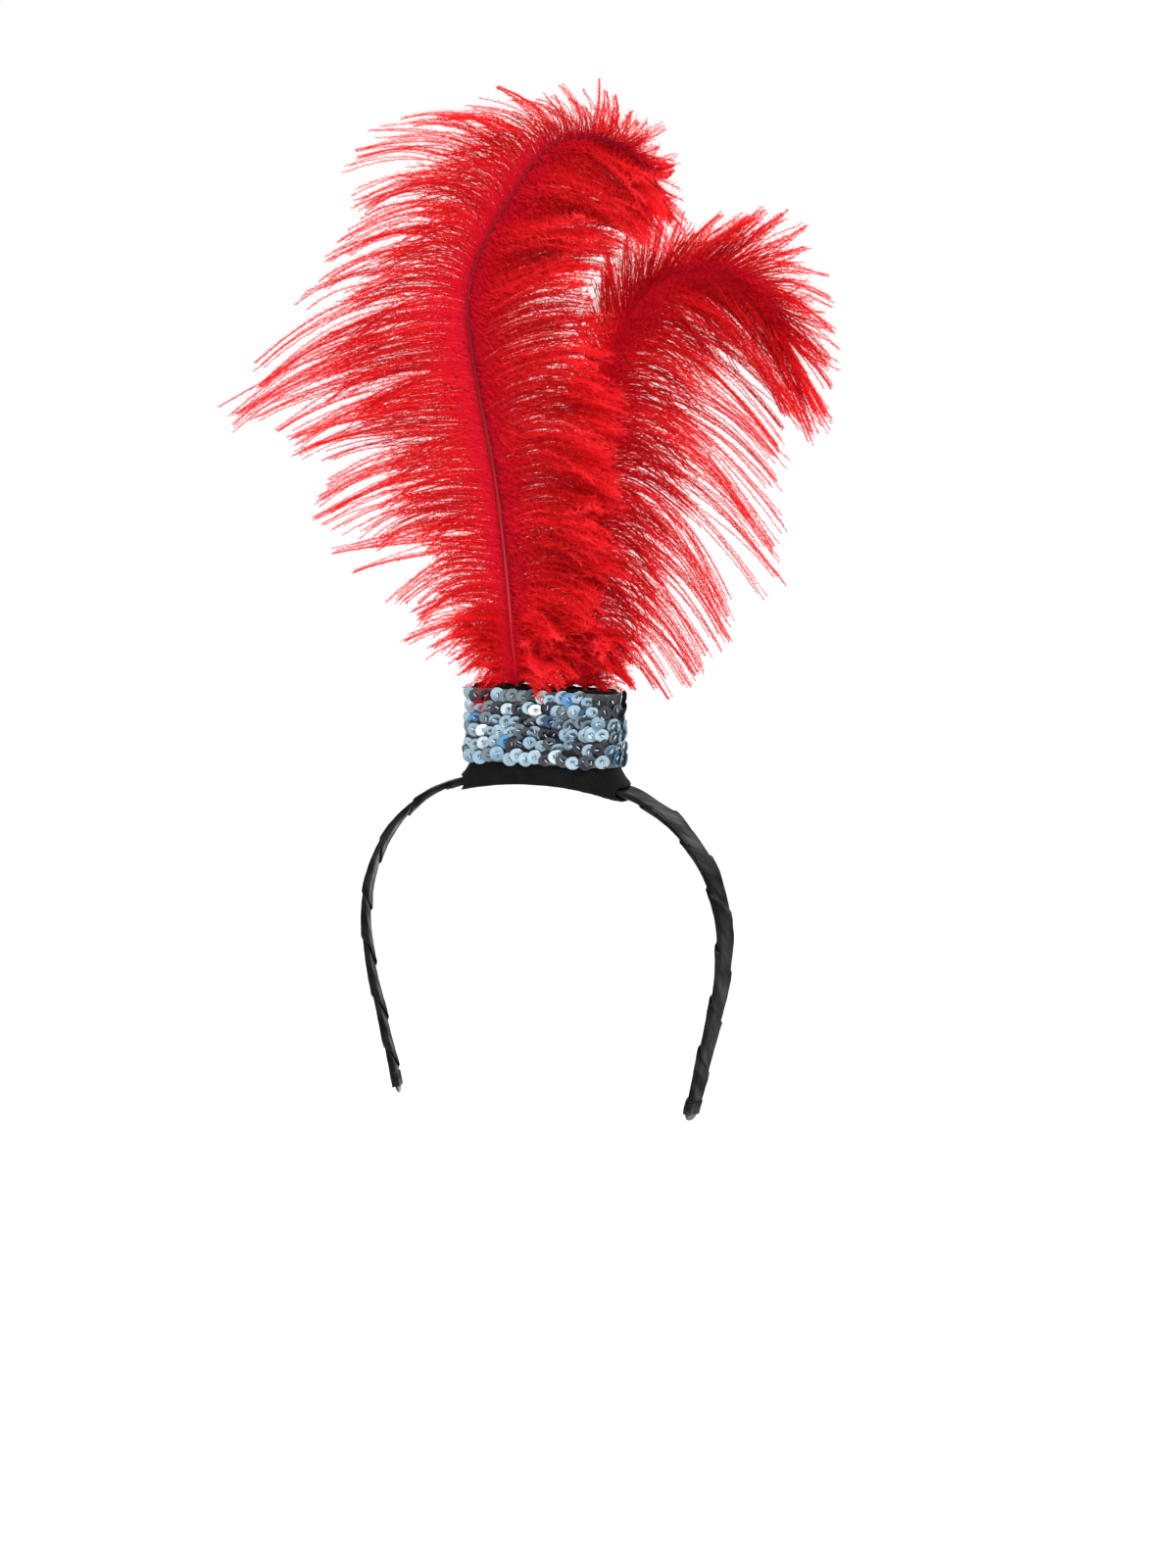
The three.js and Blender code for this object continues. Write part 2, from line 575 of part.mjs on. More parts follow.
// A plume as one closed skin: a ridged shaft, and on each side a vane that parts into locks.
function buildPlume(plume) {
  const points = [];
  const triangles = [];
  const vertex = (point) => points.push(point) - 1;
  const triangle = (a, b, c, flip) => triangles.push(...(flip ? [a, c, b] : [a, b, c]));
  const quad = (a, b, c, d, flip) => {
    triangle(a, b, c, flip);
    triangle(a, c, d, flip);
  };
  const wall = (near, far, flip) => quad(near.front, far.front, far.back, near.back, flip);
  const pair = (point, thick) => ({
    front: vertex(point.clone().add(new THREE.Vector3(0, -thick / 2, 0))),
    back: vertex(point.clone().add(new THREE.Vector3(0, thick / 2, 0))),
  });
  const count = Math.round(plume.length / lockSpacing);
  const shareOf = (step) => THREE.MathUtils.lerp(bareShaftShare, 1, step / count);
  const vaneThickness = (along) => lockThickness * THREE.MathUtils.lerp(1, vaneTipShare, along);
  const rootOf = (at, hand) => {
    const angle = shaftAngle(plume, at) + (hand * Math.PI) / 2;
    const reach = shaftRadius(at);
    return shaftPoint(plume, at).add(new THREE.Vector3(reach * Math.cos(angle), 0, reach * Math.sin(angle)));
  };
  const shares = Array.from({ length: count + 1 }, (_, step) => shareOf(step));
  const ridge = shares.map((at) => pair(shaftPoint(plume, at), 2 * shaftRadius(at)));
  const sides = [{ table: plume.left, hand: 1 }, { table: plume.right, hand: -1 }];
  const rootThickness = vaneThickness(1) + shaftThickness * shaftTipShare * vaneTipShare;
  const roots = sides.map(({ table, hand }) => {
    const flip = hand < 0;
    const lean = Math.sign(plume.lean) * curlShare;
    const stem = shares.map((at) => pair(rootOf(at, hand), rootThickness));
    const shared = shares.map((at, step) => {
      const curve = barbCurve(plume, table, hand, at, lean);
      const vane = lockRows.slice(0, splitRow + 1)
        .map(({ along }) => pair(curve.getPoint(along), vaneThickness(along)));
      return [stem[step], ...vane];
    });
    for (let step = 0; step < count; step += 1) {
      const sway = Math.sign(plume.lean) * curlSpread * Math.sin(curlStep * step + hand);
      const middle = barbCurve(plume, table, hand, shareOf(step + 0.5), lean + sway);
      const low = barbCurve(plume, table, hand, shareOf(step), lean);
      const high = barbCurve(plume, table, hand, shareOf(step + 1), lean);
      const free = lockRows.slice(splitRow + 1);
      const edge = (curve) => free.map(({ along, close }) =>
        pair(curve.getPoint(along).lerp(middle.getPoint(along), close), vaneThickness(along)));
      const lowEdge = [...shared[step], ...edge(low)];
      const highEdge = [...shared[step + 1], ...edge(high)];
      const tip = vertex(middle.getPoint(1));
      quad(ridge[step].front, ridge[step + 1].front, highEdge[0].front, lowEdge[0].front, flip);
      quad(ridge[step].back, ridge[step + 1].back, highEdge[0].back, lowEdge[0].back, !flip);
      for (let row = 0; row < lowEdge.length - 1; row += 1) {
        quad(lowEdge[row].front, highEdge[row].front, highEdge[row + 1].front, lowEdge[row + 1].front, flip);
        quad(lowEdge[row].back, highEdge[row].back, highEdge[row + 1].back, lowEdge[row + 1].back, !flip);
        if (step === 0 || row > splitRow) {
          wall(lowEdge[row], lowEdge[row + 1], flip);
        }
        if (step === count - 1 || row > splitRow) {
          wall(highEdge[row], highEdge[row + 1], !flip);
        }
      }
      const lowEnd = lowEdge[lowEdge.length - 1];
      const highEnd = highEdge[highEdge.length - 1];
      triangle(lowEnd.front, highEnd.front, tip, flip);
      triangle(lowEnd.back, highEnd.back, tip, !flip);
      triangle(lowEnd.front, tip, lowEnd.back, flip);
      triangle(highEnd.front, tip, highEnd.back, !flip);
    }
    return stem;
  });

  const [left, right] = roots;
  const ringOf = (step) => {
    const here = [ridge[step], right[step], left[step]];
    return [here[0].front, here[1].front, here[1].back, here[0].back, here[2].back, here[2].front];
  };
  const mouth = shaftRing(plume, 0).map((point) => vertex(point.setZ(holderHeight)));
  const rings = [mouth, ringOf(0)];
  const crown = ringOf(count);
  for (let side = 0; side < 6; side += 1) {
    const next = (side + 1) % 6;
    quad(rings[0][side], rings[0][next], rings[1][next], rings[1][side], false);
  }
  for (let side = 1; side < 5; side += 1) {
    triangle(mouth[0], mouth[side + 1], mouth[side], false);
    triangle(crown[0], crown[side], crown[side + 1], false);
  }
  return solid(indexed(points, triangles));
}

// The bare end of a plume's shaft, which stands in the pocket.
function buildQuill(plume) {
  const quillFoot = bandTop + 2 * clearance;
  const levels = [quillFoot, holderHeight - clearance];
  return solid(loft(levels.map((height) => shaftRing(plume, 0).map((point) => point.setZ(height)))));
}

const tallPlume = {
  length: tallPlumeLength,
  side: tallPlumeSide,
  depth: -shaftStagger / 2,
  lean: tallLeanShare,
  shaft: tallShaft,
  left: tallLeft,
  right: tallRight,
};
const sidePlume = {
  length: sidePlumeLength,
  side: sidePlumeSide,
  depth: shaftStagger / 2,
  lean: sideLeanShare,
  shaft: sideShaft,
  left: sideLeft,
  right: sideRight,
};

const headband = new THREE.Group();
headband.add(piece("hoop", buildHoop(), plasticBlack));
headband.add(piece("ribbon_winding", buildRibbon(), satinBlack));
headband.add(piece("holder", buildHolder(), feltBlack));
headband.add(piece("sequin_trim", buildTrim(), sequinSilver));
headband.add(piece("quill_tall", buildQuill(tallPlume), plumeRed));
headband.add(piece("quill_side", buildQuill(sidePlume), plumeRed));
headband.add(piece("plume_tall", buildPlume(tallPlume), plumeRed));
headband.add(piece("plume_side", buildPlume(sidePlume), plumeRed));

export default headband;
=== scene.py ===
"""Dresses the flapper headband: a satin-wound hoop, a felt holder with sequins, and two ostrich plumes.

Sizes are in millimetres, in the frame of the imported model, and become metres where a mesh is made.
"""

import logging
import math
from dataclasses import dataclass
from enum import Enum
from typing import Any, NamedTuple, Optional

import bpy
import numpy as np
from mathutils import Matrix, Vector

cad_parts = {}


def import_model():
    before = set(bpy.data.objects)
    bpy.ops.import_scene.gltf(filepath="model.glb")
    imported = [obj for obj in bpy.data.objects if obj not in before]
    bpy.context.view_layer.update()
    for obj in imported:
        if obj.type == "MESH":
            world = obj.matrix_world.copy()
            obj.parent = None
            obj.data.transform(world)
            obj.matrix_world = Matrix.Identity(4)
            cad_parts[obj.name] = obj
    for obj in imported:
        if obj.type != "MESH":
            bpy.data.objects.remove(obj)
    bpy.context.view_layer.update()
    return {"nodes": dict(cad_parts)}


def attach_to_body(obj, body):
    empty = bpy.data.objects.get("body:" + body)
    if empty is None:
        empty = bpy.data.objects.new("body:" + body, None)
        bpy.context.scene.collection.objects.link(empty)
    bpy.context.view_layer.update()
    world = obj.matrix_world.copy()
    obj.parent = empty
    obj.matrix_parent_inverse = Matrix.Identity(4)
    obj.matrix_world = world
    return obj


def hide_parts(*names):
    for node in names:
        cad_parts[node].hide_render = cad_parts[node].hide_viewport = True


log = logging.getLogger("headband")
MM = 0.001
# Painted shade: the barbs' strands keep this share of their shade value, so they are painted a darker red
# than their barbules.
BARB_PAINTED_SHADE = 0.55
WAVE_TURNS = 0.16
CLOTH_GIRTH = 24.0


class Side(Enum):
    """The side of a plume's shaft, as a sign: +1 turns anticlockwise from it, seen from the front."""

    LEFT = 1
    RIGHT = -1


class ShaftRow(NamedTuple):
    """A place on a plume's shaft, in shares of the plume's length."""

    at: float
    side: float
    rise: float


class VaneRow(NamedTuple):
    """How barbs leave the shaft: reach in shares of the length, aim and leave in degrees."""

    at: float
    reach: float
    aim: float
    leave: float
    lift: float


class HolderRow(NamedTuple):
    """A level of the holder: share of its height, of the skirt's extra width and of the extra depth."""

    at: float
    flare: float
    depth: float


def linear(code: str) -> tuple[float, float, float, float]:
    """Turns an sRGB hex colour into a linear one.

    Args:
        code: six hex digits after a hash.

    Returns:
        Red, green, blue and an alpha of 1.
    """
    shares = [int(code[place : place + 2], 16) / 255 for place in (1, 3, 5)]
    red, green, blue = (s / 12.92 if s <= 0.04045 else ((s + 0.055) / 1.055) ** 2.4 for s in shares)
    return red, green, blue, 1.0


def add(tree: Any, kind: str, inputs: Optional[dict] = None, **settings: Any) -> Any:
    """Adds a node with its settings, and sets or links its inputs.

    Args:
        tree: the shader or geometry tree.
        kind: the node's type.
        inputs: a value or an output socket for each input, by name or number.
        **settings: the node's own properties.

    Returns:
        The node.
    """
    made = tree.nodes.new(kind)
    for name, value in settings.items():
        setattr(made, name, value)
    for name, value in (inputs or {}).items():
        if isinstance(value, bpy.types.NodeSocket):
            tree.links.new(value, made.inputs[name])
        else:
            made.inputs[name].default_value = value
    return made


def ramp(tree: Any, factor: Any, stops: list[tuple[float, str]], steps: bool = False) -> Any:
    """Adds a colour ramp.

    Args:
        tree: the shader tree.
        factor: the output socket that drives it.
        stops: places from 0 to 1 with their hex colours.
        steps: True for flat bands of colour.

    Returns:
        The ramp's colour output.
    """
    made = add(tree, "ShaderNodeValToRGB", {"Fac": factor})
    made.color_ramp.interpolation = "CONSTANT" if steps else "EASE"
    elements = made.color_ramp.elements
    while len(elements) < len(stops):
        elements.new(0.5)
    for element, (place, code) in zip(elements, stops):
        element.position = place
        element.color = linear(code)
    return made.outputs["Color"]


def object_place(tree: Any) -> Any:
    """Gives each place on the object, in metres."""
    return add(tree, "ShaderNodeTexCoord").outputs["Object"]


def cloth_place(tree: Any) -> Any:
    """Gives each place on the piece's own UV map, in metres."""
    return add(tree, "ShaderNodeUVMap", uv_map="UVMap").outputs["UV"]


def noise(tree: Any, place: Any, size_mm: float, detail: float = 2.0) -> Any:
    """Adds noise.

    Args:
        tree: the shader tree.
        place: the socket with places in metres.
        size_mm: the size of the noise's grain.
        detail: how many finer layers it has.

    Returns:
        The noise, from 0 to 1.
    """
    made = add(tree, "ShaderNodeTexNoise", {"Vector": place, "Scale": 1 / (size_mm * MM), "Detail": detail})
    return made.outputs["Fac"]


def streaks(tree: Any, place: Any, size_mm: tuple[float, float], detail: float = 2.0) -> Any:
    """Adds noise drawn out into streaks.

    Args:
        tree: the shader tree.
        place: the socket with places on the UV map, in metres.
        size_mm: the size of a streak along the map's first and second axis.
        detail: how many finer layers it has.

    Returns:
        The noise, from 0 to 1.
    """
    scale = (1 / (size_mm[0] * MM), 1 / (size_mm[1] * MM), 1)
    drawn = add(tree, "ShaderNodeMapping", {"Vector": place, "Scale": scale})
    made = add(tree, "ShaderNodeTexNoise", {"Vector": drawn.outputs[0], "Scale": 1.0, "Detail": detail})
    return made.outputs["Fac"]


def bump(tree: Any, height: Any, strength: float, depth_mm: float, under: Any = None) -> Any:
    """Adds relief.

    Args:
        tree: the shader tree.
        height: the socket with the height, from 0 to 1.
        strength: the strength of the relief.
        depth_mm: its depth.
        under: a coarser or finer relief that it lies on.

    Returns:
        The normal.
    """
    made = add(tree, "ShaderNodeBump", {"Height": height, "Strength": strength, "Distance": depth_mm * MM})
    if under is not None:
        tree.links.new(under, made.inputs["Normal"])
    return made.outputs[0]


def spread(tree: Any, value: Any, given: tuple[float, float], wanted: tuple[float, float]) -> Any:
    """Stretches a value from one range to another."""
    return add(tree, "ShaderNodeMapRange", {
        "Value": value, "From Min": given[0], "From Max": given[1], "To Min": wanted[0], "To Max": wanted[1],
    }).outputs[0]


def principled(tree: Any, inputs: dict) -> Any:
    """Adds the main surface shader with its inputs."""
    return add(tree, "ShaderNodeBsdfPrincipled", inputs).outputs[0]


def tinted(tree: Any, share: Any, first: Any, second: Any) -> Any:
    """Mixes a share of the second colour into the first."""
    return add(tree, "ShaderNodeMix", {0: share, 6: first, 7: second}, data_type="RGBA").outputs[2]


def blended(tree: Any, share: Any, first: Any, second: Any) -> Any:
    """Mixes a share of the second shader into the first."""
    return add(tree, "ShaderNodeMixShader", {0: share, 1: first, 2: second}).outputs[0]


class Finish:
    """A finish that builds the material named for it."""

    name: str

    def surface(self, tree: Any) -> Any:
        """Builds the shader and gives its output."""
        raise NotImplementedError

    def material(self) -> bpy.types.Material:
        """Builds the material."""
        made = bpy.data.materials.new(self.name)
        made.use_nodes = True
        tree = made.node_tree
        tree.nodes.clear()
        output = tree.nodes.new("ShaderNodeOutputMaterial")
        tree.links.new(self.surface(tree), output.inputs["Surface"])
        return made


@dataclass(frozen=True)
class MouldedPlastic(Finish):
    """Black ABS, injection moulded and polished: a deep black with small hard highlights."""

    name: str = "polished_abs"
    colour: str = "#0b0b0d"
    roughness: float = 0.22
    ripple_mm: float = 9.0

    def surface(self, tree: Any) -> Any:
        """Breaks up the gloss with the slow flow marks of the mould."""
        flow = noise(tree, object_place(tree), self.ripple_mm)
        return principled(tree, {
            "Base Color": linear(self.colour), "Roughness": self.roughness, "IOR": 1.54,
            "Normal": bump(tree, flow, 0.15, 0.2),
        })


@dataclass(frozen=True)
class SatinRibbon(Finish):
    """Black polyester satin: long warp floats give a silky grey sheen that lies in patches."""

    name: str = "black_satin_weave"
    colour: str = "#050506"
    # Painted sheen: the lighter black that the warp floats are painted.
    highlight_colour: str = "#0b0b0d"
    thread_mm: float = 0.3
    crease_mm: float = 5.0
    patch_mm: float = 7.0

    def surface(self, tree: Any) -> Any:
        """Weaves the ribbon on its own UV map, along and across it, and presses creases into it."""
        cloth = cloth_place(tree)
        floats = streaks(tree, cloth, (8 * self.thread_mm, self.thread_mm))
        creases = noise(tree, cloth, self.crease_mm, detail=4.0)
        patches = streaks(tree, cloth, (2 * self.patch_mm, self.patch_mm), detail=3.0)
        # Painted sheen: the floats are painted a little lighter than the ground of the weave.
        colour = ramp(tree, floats, [(0.35, self.colour), (0.75, self.highlight_colour)])
        weave = bump(tree, floats, 0.25, 0.08)
        shining = principled(tree, {
            "Base Color": colour, "Roughness": spread(tree, creases, (0.3, 0.7), (0.24, 0.4)),
            "Specular IOR Level": 0.2, "Anisotropic": 0.4,
            "Normal": bump(tree, creases, 0.4, 0.7, under=weave),
        })
        matt = add(tree, "ShaderNodeBsdfDiffuse", {"Color": colour}).outputs[0]
        return blended(tree, spread(tree, patches, (0.38, 0.66), (0.3, 1.0)), matt, shining)


@dataclass(frozen=True)
class CraftFelt(Finish):
    """Black needled felt: matted fibres swallow the light, so that only a little dust-grey nap shows."""

    name: str = "black_needled_felt"
    colour: str = "#060607"
    nap_colour: str = "#111113"
    nap_mm: float = 0.7
    patch_mm: float = 8.0

    def surface(self, tree: Any) -> Any:
        """Builds the nap from two sizes of noise, one for fibres and one for brushed patches."""
        place = object_place(tree)
        nap = noise(tree, place, self.nap_mm, detail=3.0)
        patches = noise(tree, place, self.patch_mm)
        both = add(tree, "ShaderNodeMath", {0: nap, 1: patches}, operation="MULTIPLY").outputs[0]
        return principled(tree, {
            "Base Color": ramp(tree, both, [(0.15, self.colour), (0.5, self.nap_colour)]),
            "Roughness": 0.95, "Specular IOR Level": 0.06, "Sheen Weight": 0.03, "Sheen Roughness": 0.6,
            "Normal": bump(tree, nap, 0.6, 0.4),
        })


@dataclass(frozen=True)
class MetallisedFilm(Finish):
    """Polyester film coated with aluminium and pressed to a cup: mirror discs in silver, slate and blue."""

    name: str = "metallised_sequin_film"
    dents_mm: float = 2.4

    def surface(self, tree: Any) -> Any:
        """Gives each sequin one colour at random: partly the film's own silver, slate and blue, partly a
        painted reflection of the bright and dark parts of the room that the sequins face.
        """
        tone = add(tree, "ShaderNodeAttribute", attribute_name="tone").outputs["Fac"]
        dents = noise(tree, object_place(tree), self.dents_mm)
        # Painted reflections: the near-white and near-black steps stand for the room mirrored in each sequin;
        # the slate, blue, green and peach steps are partly the film's own colour.
        colour = ramp(tree, tone, [
            (0.0, "#23252b"), (0.14, "#343a42"), (0.28, "#5c6870"), (0.4, "#7c919d"), (0.56, "#8ba3b0"),
            (0.72, "#7995a8"), (0.84, "#a3b6bf"), (0.91, "#20395a"), (0.94, "#4379a4"), (0.965, "#eef2f3"),
            (0.985, "#1d7a63"), (0.993, "#dcb596"),
        ], steps=True)
        return principled(tree, {
            "Base Color": colour, "Metallic": 0.8, "Roughness": 0.3,
            "Coat Weight": 0.3, "Coat Roughness": 0.08, "Normal": bump(tree, dents, 0.35, 0.3),
        })


@dataclass(frozen=True)
class SewingThread(Finish):
    """Twisted thread, matt and slightly frayed."""

    name: str
    colour: str
    twist_mm: float = 0.4

    def surface(self, tree: Any) -> Any:
        """Shows the bands of the thread's twist."""
        twist = add(tree, "ShaderNodeTexWave", {
            "Vector": object_place(tree), "Scale": WAVE_TURNS / (self.twist_mm * MM),
        })
        return principled(tree, {
            "Base Color": linear(self.colour), "Roughness": 0.55, "Sheen Weight": 0.2,
            "Normal": bump(tree, twist.outputs["Fac"], 0.4, 0.1),
        })


@dataclass(frozen=True)
class DyedDown(Finish):
    """Ostrich down dyed red: fine keratin that glows where light comes through, pinker by the shaft."""

    name: str = "dyed_ostrich_down"
    deep: str = "#d41d26"
    middle: str = "#ea242e"
    light: str = "#f8363c"
    pink: str = "#ec1c50"
    glow: float = 0.62

    def surface(self, tree: Any) -> Any:
        """Dyes the down by the barbs' own attributes: `shade`, random for each barb and with painted shade
        that darkens the barbs' strands, and `tint` by the shaft.
        """
        shade = add(tree, "ShaderNodeAttribute", attribute_name="shade").outputs["Fac"]
        tint = add(tree, "ShaderNodeAttribute", attribute_name="tint").outputs["Fac"]
        dye = ramp(tree, shade, [(0.0, self.deep), (0.45, self.middle), (1.0, self.light)])
        colour = tinted(tree, tint, dye, linear(self.pink))
        keratin = principled(tree, {
            "Base Color": colour, "Roughness": 0.6, "IOR": 1.55, "Specular IOR Level": 0.25,
        })
        through = add(tree, "ShaderNodeBsdfTranslucent", {"Color": colour}).outputs[0]
        return blended(tree, self.glow, keratin, through)


@dataclass(frozen=True)
class DyedShaft(Finish):
    """The horny shaft of the plume, dyed with the down: darker than the barbs, and a little glossy."""

    name: str = "dyed_plume_shaft"
    colour: str = "#5e0c13"
    light_colour: str = "#8e1820"
    # Painted highlight: the paler red painted down the front of the lower shaft.
    highlight_colour: str = "#d8343e"
    streak_mm: float = 1.2

    def surface(self, tree: Any) -> Any:
        """Draws streaks along the shaft on its UV map, and paints a paler highlight down its lower front from
        an attribute written with the shaft.
        """
        fibres = streaks(tree, cloth_place(tree), (self.streak_mm, 20 * self.streak_mm))
        worn = add(tree, "ShaderNodeAttribute", attribute_name="worn").outputs["Fac"]
        dye = ramp(tree, fibres, [(0.35, self.colour), (0.8, self.light_colour)])
        return principled(tree, {
            "Base Color": tinted(tree, worn, dye, linear(self.highlight_colour)), "Roughness": 0.45, "IOR": 1.55,
            "Specular IOR Level": 0.1, "Normal": bump(tree, fibres, 0.3, 0.2),
        })


@dataclass(frozen=True)
class StudioPaper(Finish):
    """White background paper: matt, with a faint tooth."""

    name: str = "white_studio_paper"
    colour: str = "#fdfdfd"
    tooth_mm: float = 3.0

    def surface(self, tree: Any) -> Any:
        """Gives the paper its tooth."""
        tooth = noise(tree, object_place(tree), self.tooth_mm)
        return principled(tree, {
            "Base Color": linear(self.colour), "Roughness": 0.9, "Normal": bump(tree, tooth, 0.05, 0.1),
        })


def placed(name: str, mesh: bpy.types.Mesh) -> bpy.types.Object:
    """Links a mesh to the scene as an object at the origin."""
    made = bpy.data.objects.new(name, mesh)
    bpy.context.scene.collection.objects.link(made)
    return made


def mesh_object(name: str, points: np.ndarray, faces: Any, edges: Any = (),
                smooth: bool = True) -> bpy.types.Object:
    """Makes an object from points in millimetres.

    Args:
        name: the object's name.
        points: one row for each point.
        faces: point numbers of each face.
        edges: point numbers of each loose edge.
        smooth: True to shade the faces smooth.

    Returns:
        The object.
    """
    mesh = bpy.data.meshes.new(name)
    corners = faces.tolist() if isinstance(faces, np.ndarray) else list(faces)
    mesh.from_pydata((np.asarray(points) * MM).tolist(), np.asarray(edges).tolist(), corners)
    mesh.polygons.foreach_set("use_smooth", [smooth] * len(mesh.polygons))
    mesh.update()
    return placed(name, mesh)


def grid_faces(rows: int, columns: int, closed: bool) -> np.ndarray:
    """Numbers the quads of a grid of points.

    Args:
        rows: how many rows of points.
        columns: how many points a row has.
        closed: True if each row runs back into its start.

    Returns:
        Four point numbers for each quad.
    """
    row, column = np.meshgrid(np.arange(rows - 1), np.arange(columns - (0 if closed else 1)), indexing="ij")
    beside = (column + 1) % columns
    this, after = row * columns, (row + 1) * columns
    return np.stack([this + column, this + beside, after + beside, after + column], axis=-1).reshape(-1, 4)


def capped(rings: np.ndarray) -> tuple[np.ndarray, list]:
    """Closes a stack of rings at both ends.

    Args:
        rings: rings of points, anticlockwise as seen from the last one's end.

    Returns:
        The points, and the faces with a fan at each end.
    """
    rows, columns, _ = rings.shape
    points = np.vstack([rings.reshape(-1, 3), rings[0].mean(axis=0), rings[-1].mean(axis=0)])
    faces = grid_faces(rows, columns, closed=True).tolist()
    first, last = len(points) - 2, len(points) - 1
    for column in range(columns):
        beside = (column + 1) % columns
        faces.append([first, beside, column])
        faces.append([last, (rows - 1) * columns + column, (rows - 1) * columns + beside])
    return points, faces


def write_uv(made: bpy.types.Object, places: np.ndarray) -> None:
    """Writes a UV map in metres from one place in millimetres for each point."""
    layer = made.data.uv_layers.new(name="UVMap")
    index = np.empty(len(made.data.loops), dtype=np.int32)
    made.data.loops.foreach_get("vertex_index", index)
    layer.data.foreach_set("uv", (places[index] * MM).astype(np.float32).ravel())


def write_values(made: bpy.types.Object, label: str, values: np.ndarray) -> None:
    """Writes a named attribute from one number for each point."""
    layer = made.data.attributes.new(label, "FLOAT", "POINT")
    layer.data.foreach_set("value", values.astype(np.float32).ravel())


def finished(made: bpy.types.Object, finish: Any) -> bpy.types.Object:
    """Gives an object one finish."""
    made.data.materials.clear()
    made.data.materials.append(finish.material())
    return made


def applied(made: bpy.types.Object) -> bpy.types.Object:
    """Turns an object's modifiers into plain mesh.

    Args:
        made: the object, which is removed.

    Returns:
        A new object of the same name.
    """
    name = made.name
    depsgraph = bpy.context.evaluated_depsgraph_get()
    mesh = bpy.data.meshes.new_from_object(made.evaluated_get(depsgraph), depsgraph=depsgraph)
    bpy.data.objects.remove(made)
    mesh.name = name
    return placed(name, mesh)


def grown(source: bpy.types.Object, tree: Any, values: dict) -> bpy.types.Object:
    """Runs a geometry tree on an object and keeps what it makes as plain mesh.

    Args:
        source: the object, which is removed.
        tree: the geometry tree.
        values: the tree's inputs by name.

    Returns:
        The new object.
    """
    modifier = source.modifiers.new("growth", "NODES")
    modifier.node_group = tree
    for item in tree.interface.items_tree:
        if item.in_out == "INPUT" and item.name in values:
            modifier[item.identifier] = values[item.name]
    return applied(source)


def geometry_tree(name: str, sockets: dict[str, str]) -> tuple[Any, Any, Any]:
    """Starts a geometry tree.

    Args:
        name: the tree's name.
        sockets: the kind of each named input besides the geometry.

    Returns:
        The tree, its input node and its output node.
    """
    tree = bpy.data.node_groups.new(name, "GeometryNodeTree")
    tree.interface.new_socket("Geometry", in_out="INPUT", socket_type="NodeSocketGeometry")
    for label, kind in sockets.items():
        tree.interface.new_socket(label, in_out="INPUT", socket_type="NodeSocket" + kind)
    tree.interface.new_socket("Geometry", in_out="OUTPUT", socket_type="NodeSocketGeometry")
    return tree, tree.nodes.new("NodeGroupInput"), tree.nodes.new("NodeGroupOutput")


def attribute(tree: Any, name: str, kind: str = "FLOAT") -> Any:
    """Reads a named attribute in a geometry tree."""
    node = add(tree, "GeometryNodeInputNamedAttribute", {"Name": name}, data_type=kind)
    return node.outputs["Attribute"]


def chance(tree: Any, low: float, high: float, seed: Any) -> Any:
    """Adds an even random number between two limits in a geometry tree."""
    return add(tree, "FunctionNodeRandomValue", {2: low, 3: high, "Seed": seed}, data_type="FLOAT").outputs[1]


def product(tree: Any, first: Any, second: Any) -> Any:
    """Multiplies two numbers in a geometry tree."""
    return add(tree, "ShaderNodeMath", {0: first, 1: second}, operation="MULTIPLY").outputs[0]


def leaning(tree: Any, dots: Any, shape: Any, seed: Any, lean: tuple[float, float], around: float,
            length: Any) -> Any:
    """Stands a spike on each point, leaning over at random to a random side.

    Args:
        tree: the geometry tree.
        dots: the node that gives the points and their rotations.
        shape: the socket with the spike's object.
        seed: the socket with the seed.
        lean: the limits of the lean, in radians.
        around: the most that the lean's side turns, in radians.
        length: the socket with the spike's length.

    Returns:
        The instances.
    """
    turn = add(tree, "ShaderNodeCombineXYZ", {
        "Y": chance(tree, *lean, seed), "Z": chance(tree, 0.0, around, seed),
    })
    local = add(tree, "FunctionNodeEulerToRotation", {"Euler": turn.outputs[0]})
    stance = add(tree, "FunctionNodeRotateRotation", {
        "Rotation": dots.outputs["Rotation"], "Rotate By": local.outputs[0],
    }, rotation_space="LOCAL")
    size = add(tree, "ShaderNodeCombineXYZ", {"X": length, "Y": 1.0, "Z": 1.0})
    spikes = add(tree, "GeometryNodeObjectInfo", {"Object": shape, "As Instance": True})
    return add(tree, "GeometryNodeInstanceOnPoints", {
        "Points": dots.outputs["Points"], "Instance": spikes.outputs["Geometry"],
        "Rotation": stance.outputs[0], "Scale": size.outputs[0],
    }).outputs[0]


def delivered(tree: Any, out: Any, finish: Any, *shapes: Any) -> Any:
    """Joins shapes at the end of a geometry tree, makes them real and gives them one material.

    Args:
        tree: the tree.
        out: its output node.
        finish: the socket with the material.
        *shapes: the sockets with the shapes, in order.

    Returns:
        The tree.
    """
    together = add(tree, "GeometryNodeJoinGeometry")
    for shape in shapes:
        tree.links.new(shape, together.inputs[0])
    real = add(tree, "GeometryNodeRealizeInstances", {0: together.outputs[0]})
    dressed = add(tree, "GeometryNodeSetMaterial", {"Geometry": real.outputs[0], "Material": finish})
    tree.links.new(dressed.outputs[0], out.inputs[0])
    return tree


